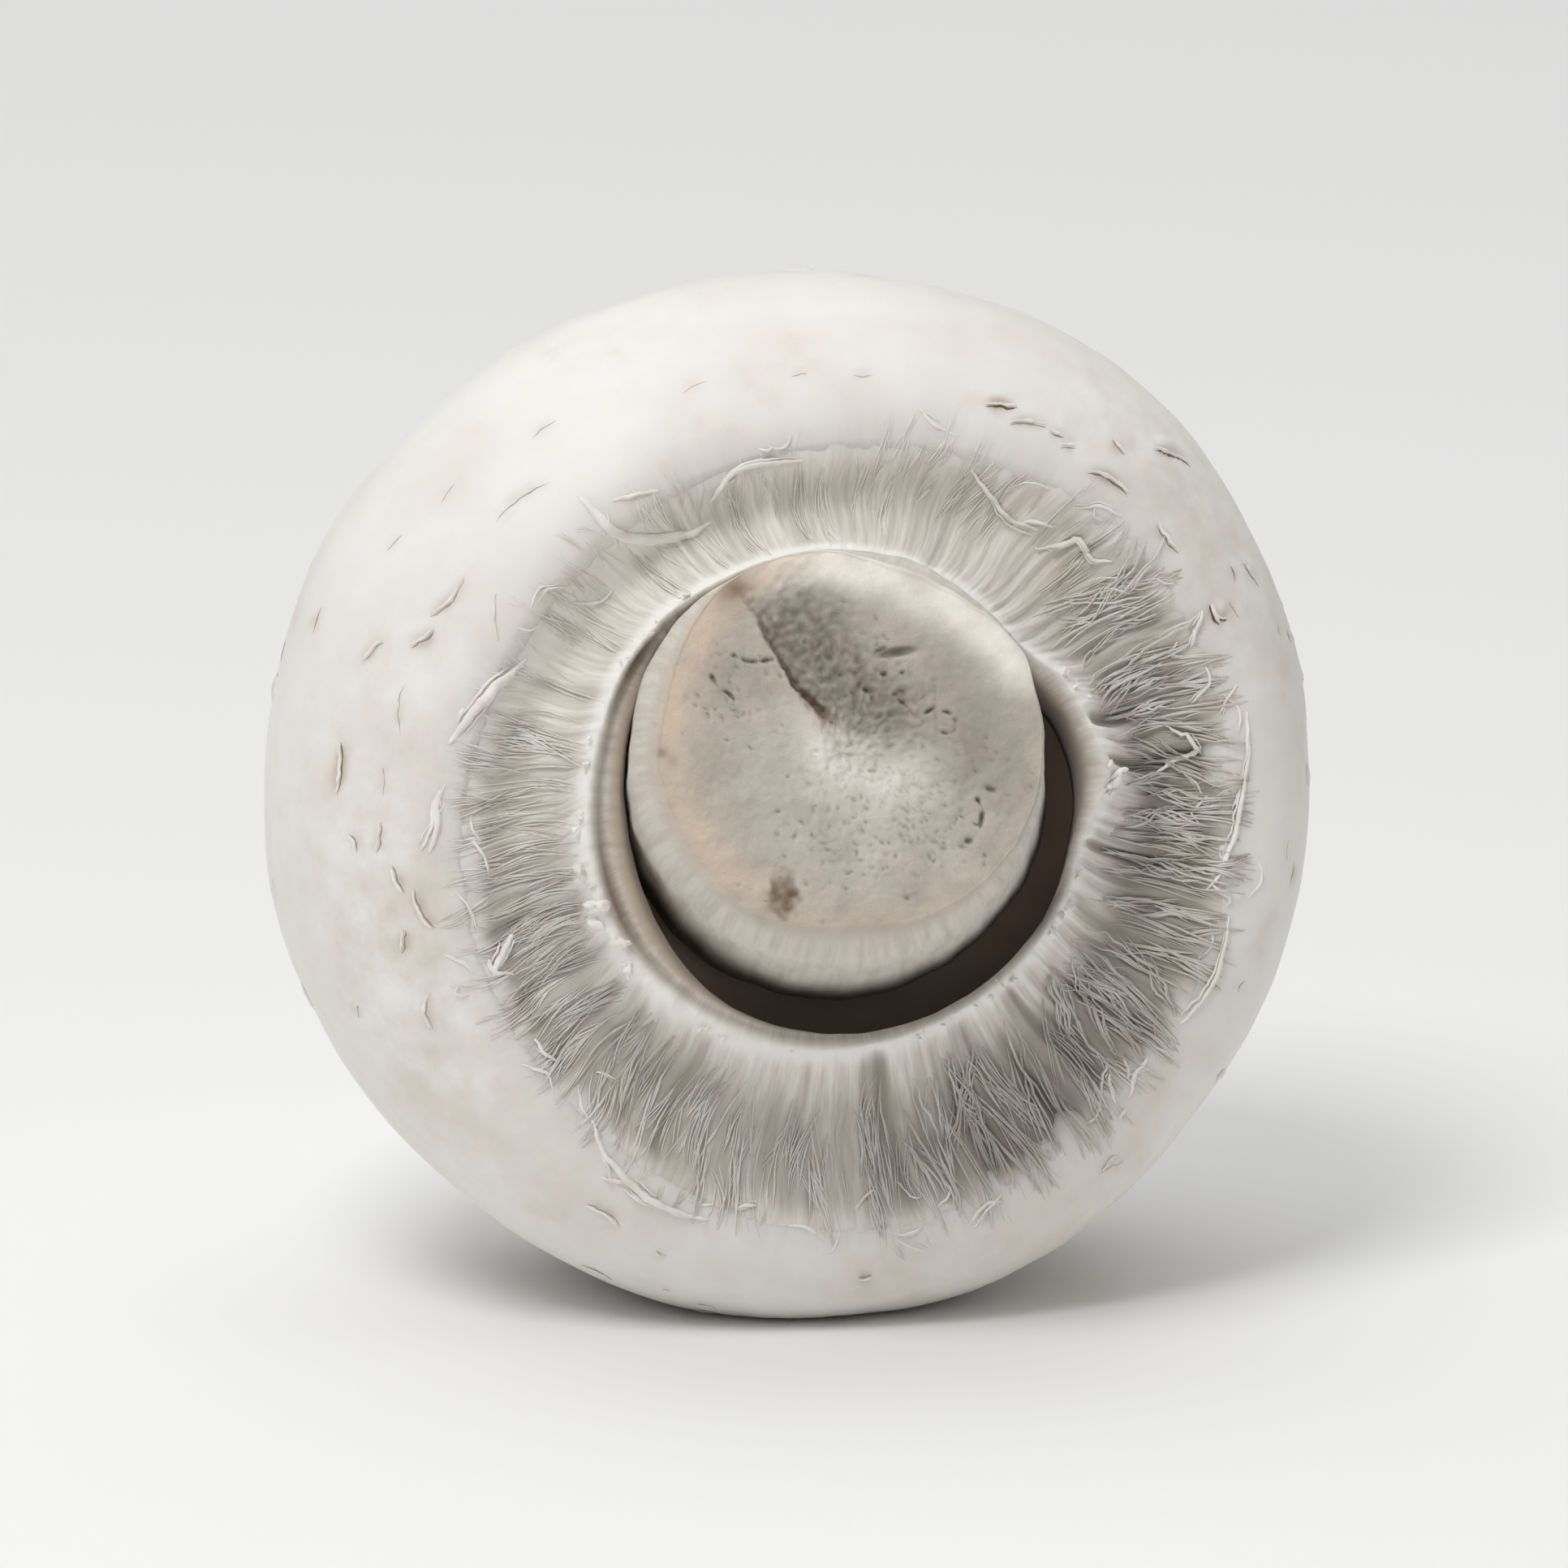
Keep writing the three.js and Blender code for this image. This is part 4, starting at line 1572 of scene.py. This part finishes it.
    def pits(self) -> list[Pit]:
        """The pits that are known, and small pores in clusters."""
        source = random.Random(self.seed)
        pits = list(self.named_pits)
        for right, up, wide, tall, count in self.pores:
            for _ in range(count):
                place = (source.gauss(right, wide), source.gauss(up, tall))
                width = source.uniform(0.07, 0.13)
                length = width * source.uniform(1.0, 2.4)
                pits.append(
                    Pit(*place, length, width, source.gauss(-50.0, 30.0), source.uniform(0.03, 0.15))
                )
        for crack in self.cracks:
            for point in smooth_path([Vector((right, up, 0.0)) for right, up in crack], 0.1):
                pits.append(Pit(point.x, point.y, 0.1, 0.1, 0.0, 0.2 + 0.36 * rough(point, 0.4, 71)))
        return pits

    def pore_depths(self, cut: Sequence[BMVert]) -> dict[int, float]:
        """How deep the pits are at the cut face's vertices that they reach, by the vertex's index."""
        tree = KDTree(len(cut))
        for vert in cut:
            tree.insert((vert.co.x, vert.co.y, 0.0), vert.index)
        tree.balance()
        depths: dict[int, float] = {}
        for pit in self.pits():
            middle = Vector((pit.right, -pit.up, 0.0))
            turn = math.radians(pit.turn)
            for place, index, _ in tree.find_range(middle, 1.8 * max(pit.length, pit.width)):
                right, down = place.x - middle.x, place.y - middle.y
                along = (right * math.cos(turn) - down * math.sin(turn)) / pit.length
                across = (right * math.sin(turn) + down * math.cos(turn)) / pit.width
                depth = pit.depth * math.exp(-along * along - across * across)
                depths[index] = max(depths.get(index, 0.0), depth)
        return depths

    def cut_at(self, point: Vector, pore: float) -> tuple[float, dict[str, float]]:
        """What the cut face is like at a point.

        Args:
            point: Right and up.
            pore: Depth of the pit there.

        Returns:
            How far it lies below a flat cut, and the share of each tint.
        """
        side, passed = beside(point, self.tear_line)
        side += 0.14 * rough(point, 0.7, 72) + 0.08 * rough(point, 0.25, 73)
        cliff = smoothstep(0.68, 0.5, passed)
        reach = smoothstep(-0.02, 0.4, passed) * smoothstep(1.0, 0.75, passed)
        sunk = smoothstep(
            mixed(-2.0, -0.1, cliff), mixed(1.0, 0.22, cliff), side
        ) * smoothstep(5.4, 0.9, side) * reach
        torn = smoothstep(
            mixed(-2.8, -0.05, cliff), mixed(-0.8, 0.25, cliff), side
        ) * smoothstep(5.2, 2.4, side)
        torn *= smoothstep(0.02, 0.2, passed) * smoothstep(1.0, 0.7, passed)
        crack = bell(side - 0.12, 0.13 + 0.2 * bell(passed - 0.52, 0.07))
        crack *= smoothstep(0.08, 0.4, passed)
        crack *= smoothstep(0.64, 0.53, passed)
        mottle = 0.8 + 0.5 * rough(point, 1.4, 65)
        shreds = 0.2 * (0.5 - 1.8 * abs(rough(point, 0.62, 63))) + 0.13 * rough(point, 0.3, 64)
        grain = 0.1 * rough(point, 3.0, 67) + 0.07 * rough(point, 0.9, 68) + 0.05 * rough(point, 0.38, 69)
        right, up, wide, tall = self.brown_spot
        from_spot = math.hypot(
            (point.x - right) / wide, (point.y - up) / tall
        ) + 0.45 * rough(point, 0.45, 66)
        spot = smoothstep(1.3, 0.55, from_spot) * (0.7 + 0.3 * rough(point, 0.35, 74))
        from_edge = self.outline.at(math.atan2(-point.y, point.x)) - point.length
        at_left = smoothstep(1.0, -5.0, point.x) * smoothstep(-8.0, -5.5, point.y)
        at_bottom = smoothstep(-4.5, -7.5, point.y)
        at_top = smoothstep(3.5, 6.5, point.y + 0.5 * point.x) * smoothstep(1.5, 4.0, point.y)
        # Painted shade: grey in the torn hollow, darker over the face's right side, and dark in each pit.
        grey = torn * smoothstep(-0.4, 0.7, side) * (0.75 + 0.6 * rough(point, 0.5, 70))
        shade = 0.5 * bell(math.hypot((point.x - 6.4) / 2.6, (point.y - 0.8) / 3.6), 1.0)
        smudge = 0.35 * bell(math.hypot((point.x + 5.3) / 1.6, (point.y - 3.2) / 2.0), 1.0) * mottle
        opening = bell((point - Vector((-4.7, 8.1, 0.0))).length, 1.0)
        fleck = bell(math.hypot(point.x + 8.6, point.y - 0.3), 0.28)
        fleck = max(fleck, 0.6 * bell(math.hypot(point.x + 8.1, point.y + 0.1), 0.3))
        # Painted light: the hollow's lower slope, which turns up to the lamps, is paler.
        lit_slope = 0.8 * bell(side + 1.3, 1.7) * smoothstep(0.4, 0.62, passed) * smoothstep(1.0, 0.7, passed)
        worn = 0.26 * bell(math.hypot(point.x, point.y + 2.6), 3.6)
        colours = {
            "hollow": min(0.95, max(grey, shade, smudge, 0.95 * smoothstep(0.02, 0.2, pore))),
            "pale": (lit_slope + worn) * mottle,
            # The upper edge's cream is partly the flesh's own and partly painted light where the edge turns
            # up.
            "cream": min(1.0, 1.2 * at_top * bell(from_edge - 0.5, 1.15) * mottle),
            # Tan along the left edge is the flesh's own browning; the weaker tan along the bottom edge is
            # painted shade.
            "tan": min(
                0.9,
                max(at_left * bell(from_edge - 0.5, 0.95), 0.3 * at_bottom * bell(from_edge, 0.5)) * mottle,
            ),
            "brown": min(1.0, max(spot, 0.8 * crack, 0.8 * opening * mottle, 0.5 * fleck)),
        }
        depth = self.hollow_depth * sunk + torn * shreds + 0.45 * crack + grain + 0.2 * spot + 0.3 * opening
        return depth + pore, colours


def beside(point: Vector, line: Sequence[tuple[float, float]]) -> tuple[float, float]:
    """Where a point of the cut face lies against a broken line.

    Args:
        point: Right and up.
        line: The line's corners, from its start.

    Returns:
        The distance from the line, negative on its right-hand side, and the share of it passed.
    """
    nearest = (math.inf, 0.0, 0.0)
    for i, ((x0, y0), (x1, y1)) in enumerate(zip(line, line[1:])):
        way_x, way_y = x1 - x0, y1 - y0
        off_x, off_y = point.x - x0, point.y - y0
        share = min(1.0, max(0.0, (off_x * way_x + off_y * way_y) / (way_x * way_x + way_y * way_y)))
        distance = math.hypot(off_x - way_x * share, off_y - way_y * share)
        if distance < nearest[0]:
            side = math.copysign(distance, way_x * off_y - way_y * off_x)
            nearest = (distance, side, (i + share) / (len(line) - 1))
    return nearest[1], nearest[2]


# ---- Studio ----


@dataclass(frozen=True)
class Studio:
    """A pale floor, soft light from above and a camera that looks at the cut stem."""

    floor_colour: str = "#f8f8f7"
    surround_light: float = 0.28
    surround_seen: float = 0.78
    glow_from: tuple[float, float] = (0.5, 1.7)
    azimuth: float = -11.0
    elevation: float = 13.0
    distance: float = 0.95
    field_width: float = 0.078
    sensor: float = 36.0

    def build(self) -> None:
        """Makes the floor, the lights and the camera."""
        self.floor()
        self.sky()
        self.lamp("ceiling_panel", Vector((0.0, 0.35, 1.4)), 1.8, 11.0)
        self.lamp("overhead_softbox", Vector((-0.26, -0.3, 0.6)), 0.28, 2.1)
        self.camera()
        bpy.context.scene.view_settings.view_transform = "Standard"

    def floor(self) -> None:
        """A wide pale floor under the mushroom, lit far away so that it runs into the surround."""
        body = bmesh.new()
        bmesh.ops.create_grid(body, x_segments=2, y_segments=2, size=3.0)
        material = bpy.data.materials.new("studio_floor")
        material.use_nodes = True
        tree = material.node_tree
        shader = tree.nodes["Principled BSDF"]
        shader.inputs["Base Color"].default_value = srgb(self.floor_colour)
        shader.inputs["Roughness"].default_value = 0.9
        shader.inputs["Emission Color"].default_value = srgb(self.floor_colour)
        place = add(tree, "TexCoord").outputs["Object"]
        away = add(tree, "VectorMath", {"operation": "LENGTH"}, {0: place})
        near, far = self.glow_from
        glow = {"From Min": near, "From Max": far, "To Max": self.surround_seen - self.surround_light}
        lit = add(tree, "MapRange", glow, {"Value": away.outputs["Value"]})
        tree.links.new(lit.outputs["Result"], shader.inputs["Emission Strength"])
        as_piece(body, "studio_floor", material)

    def sky(self) -> None:
        """An even pale surround, seen brighter than it lights, as a lit backdrop would be."""
        world = bpy.data.worlds.new("studio_surround")
        world.use_nodes = True
        background = world.node_tree.nodes["Background"]
        background.inputs["Color"].default_value = srgb("#fbfbfc")
        seen = add(world.node_tree, "LightPath").outputs["Is Camera Ray"]
        levels = {"To Min": self.surround_light, "To Max": self.surround_seen}
        strength = add(world.node_tree, "MapRange", levels, {"Value": seen})
        world.node_tree.links.new(strength.outputs["Result"], background.inputs["Strength"])
        bpy.context.scene.world = world

    def lamp(self, name: str, place: Vector, size: float, power: float) -> None:
        """Hangs a square soft light, its size in metres and power in watts, pointed at the mushroom."""
        light = bpy.data.lights.new(name, "AREA")
        light.size = size
        light.energy = power
        lamp = bpy.data.objects.new(name, light)
        lamp.location = place
        lamp.rotation_euler = (self.target() - place).to_track_quat("-Z", "Y").to_euler()
        bpy.context.scene.collection.objects.link(lamp)

    def target(self) -> Vector:
        """The middle of the mushroom."""
        low, high = CAD_BOX
        return (Vector(low) + Vector(high)) / 2

    def camera(self) -> None:
        """A long lens, a little left of the stem's line and above it."""
        lens = bpy.data.cameras.new("camera")
        lens.sensor_width = self.sensor
        lens.lens = self.sensor * self.distance / self.field_width
        lens.clip_start = 0.05
        lens.clip_end = 20.0
        camera = bpy.data.objects.new("camera", lens)
        aside, up = math.radians(self.azimuth), math.radians(self.elevation)
        back = Vector((math.sin(aside) * math.cos(up), -math.cos(aside) * math.cos(up), math.sin(up)))
        camera.location = self.target() + back * self.distance
        camera.rotation_euler = back.to_track_quat("Z", "Y").to_euler()
        bpy.context.scene.collection.objects.link(camera)
        bpy.context.scene.camera = camera


def main() -> None:
    """Builds the mushroom and its studio."""
    logging.basicConfig(level=logging.INFO, format="%(name)s: %(message)s")
    plan = BodyPlan()
    skin = CapSkin("mushroom_cap_skin", roughness=0.55, ior=1.4, scatter=0.35, scatter_depth=1.6, fuzz=0.08)
    silk = VeilSilk("mushroom_veil_silk", roughness=0.8, ior=1.4, scatter=0.2, scatter_depth=0.8, fuzz=0.2)
    tissue = TornMembrane(
        "mushroom_torn_membrane", roughness=0.7, ior=1.4, scatter=0.0, scatter_depth=0.5, fuzz=0.35
    )
    slit = SlitSkin(
        "mushroom_browned_tear", roughness=0.75, ior=1.4, scatter=0.0, scatter_depth=0.5, fuzz=0.0
    )
    flesh = StemFlesh(
        "mushroom_cut_flesh", roughness=0.6, ior=1.38, scatter=0.25, scatter_depth=1.2, fuzz=0.0
    )

    cap = Cap(plan, skin)
    cap_piece, cap_surface = cap.build()
    adopt(cap_piece, Slot.CAP_SKIN, Organ.CAP)
    veil = Veil(plan, silk)
    veil_piece, veil_surface = veil.build(cap_surface)
    adopt(veil_piece, Slot.VEIL_MEMBRANE, Organ.VEIL)
    adopt(Stem(plan, flesh).build(), Slot.STEM_FLESH, Organ.STEM)

    torn = TornSkin(cap, cap_surface, slit, tissue)
    adopt(torn.build_slits(), Slot.CAP_SKIN)
    adopt(torn.build_lips(), Slot.CAP_SKIN)
    ground = Ground(plan, (cap_surface, veil_surface))
    adopt(Threads(plan, tissue, ground, veil).build(), Slot.VEIL_MEMBRANE)
    adopt(Folds(plan, tissue, ground).build(), Slot.VEIL_MEMBRANE)
    adopt(Crumbs(plan, tissue, veil).build(), Slot.VEIL_MEMBRANE)

    Studio().build()


if __name__ == "__main__":
    main()
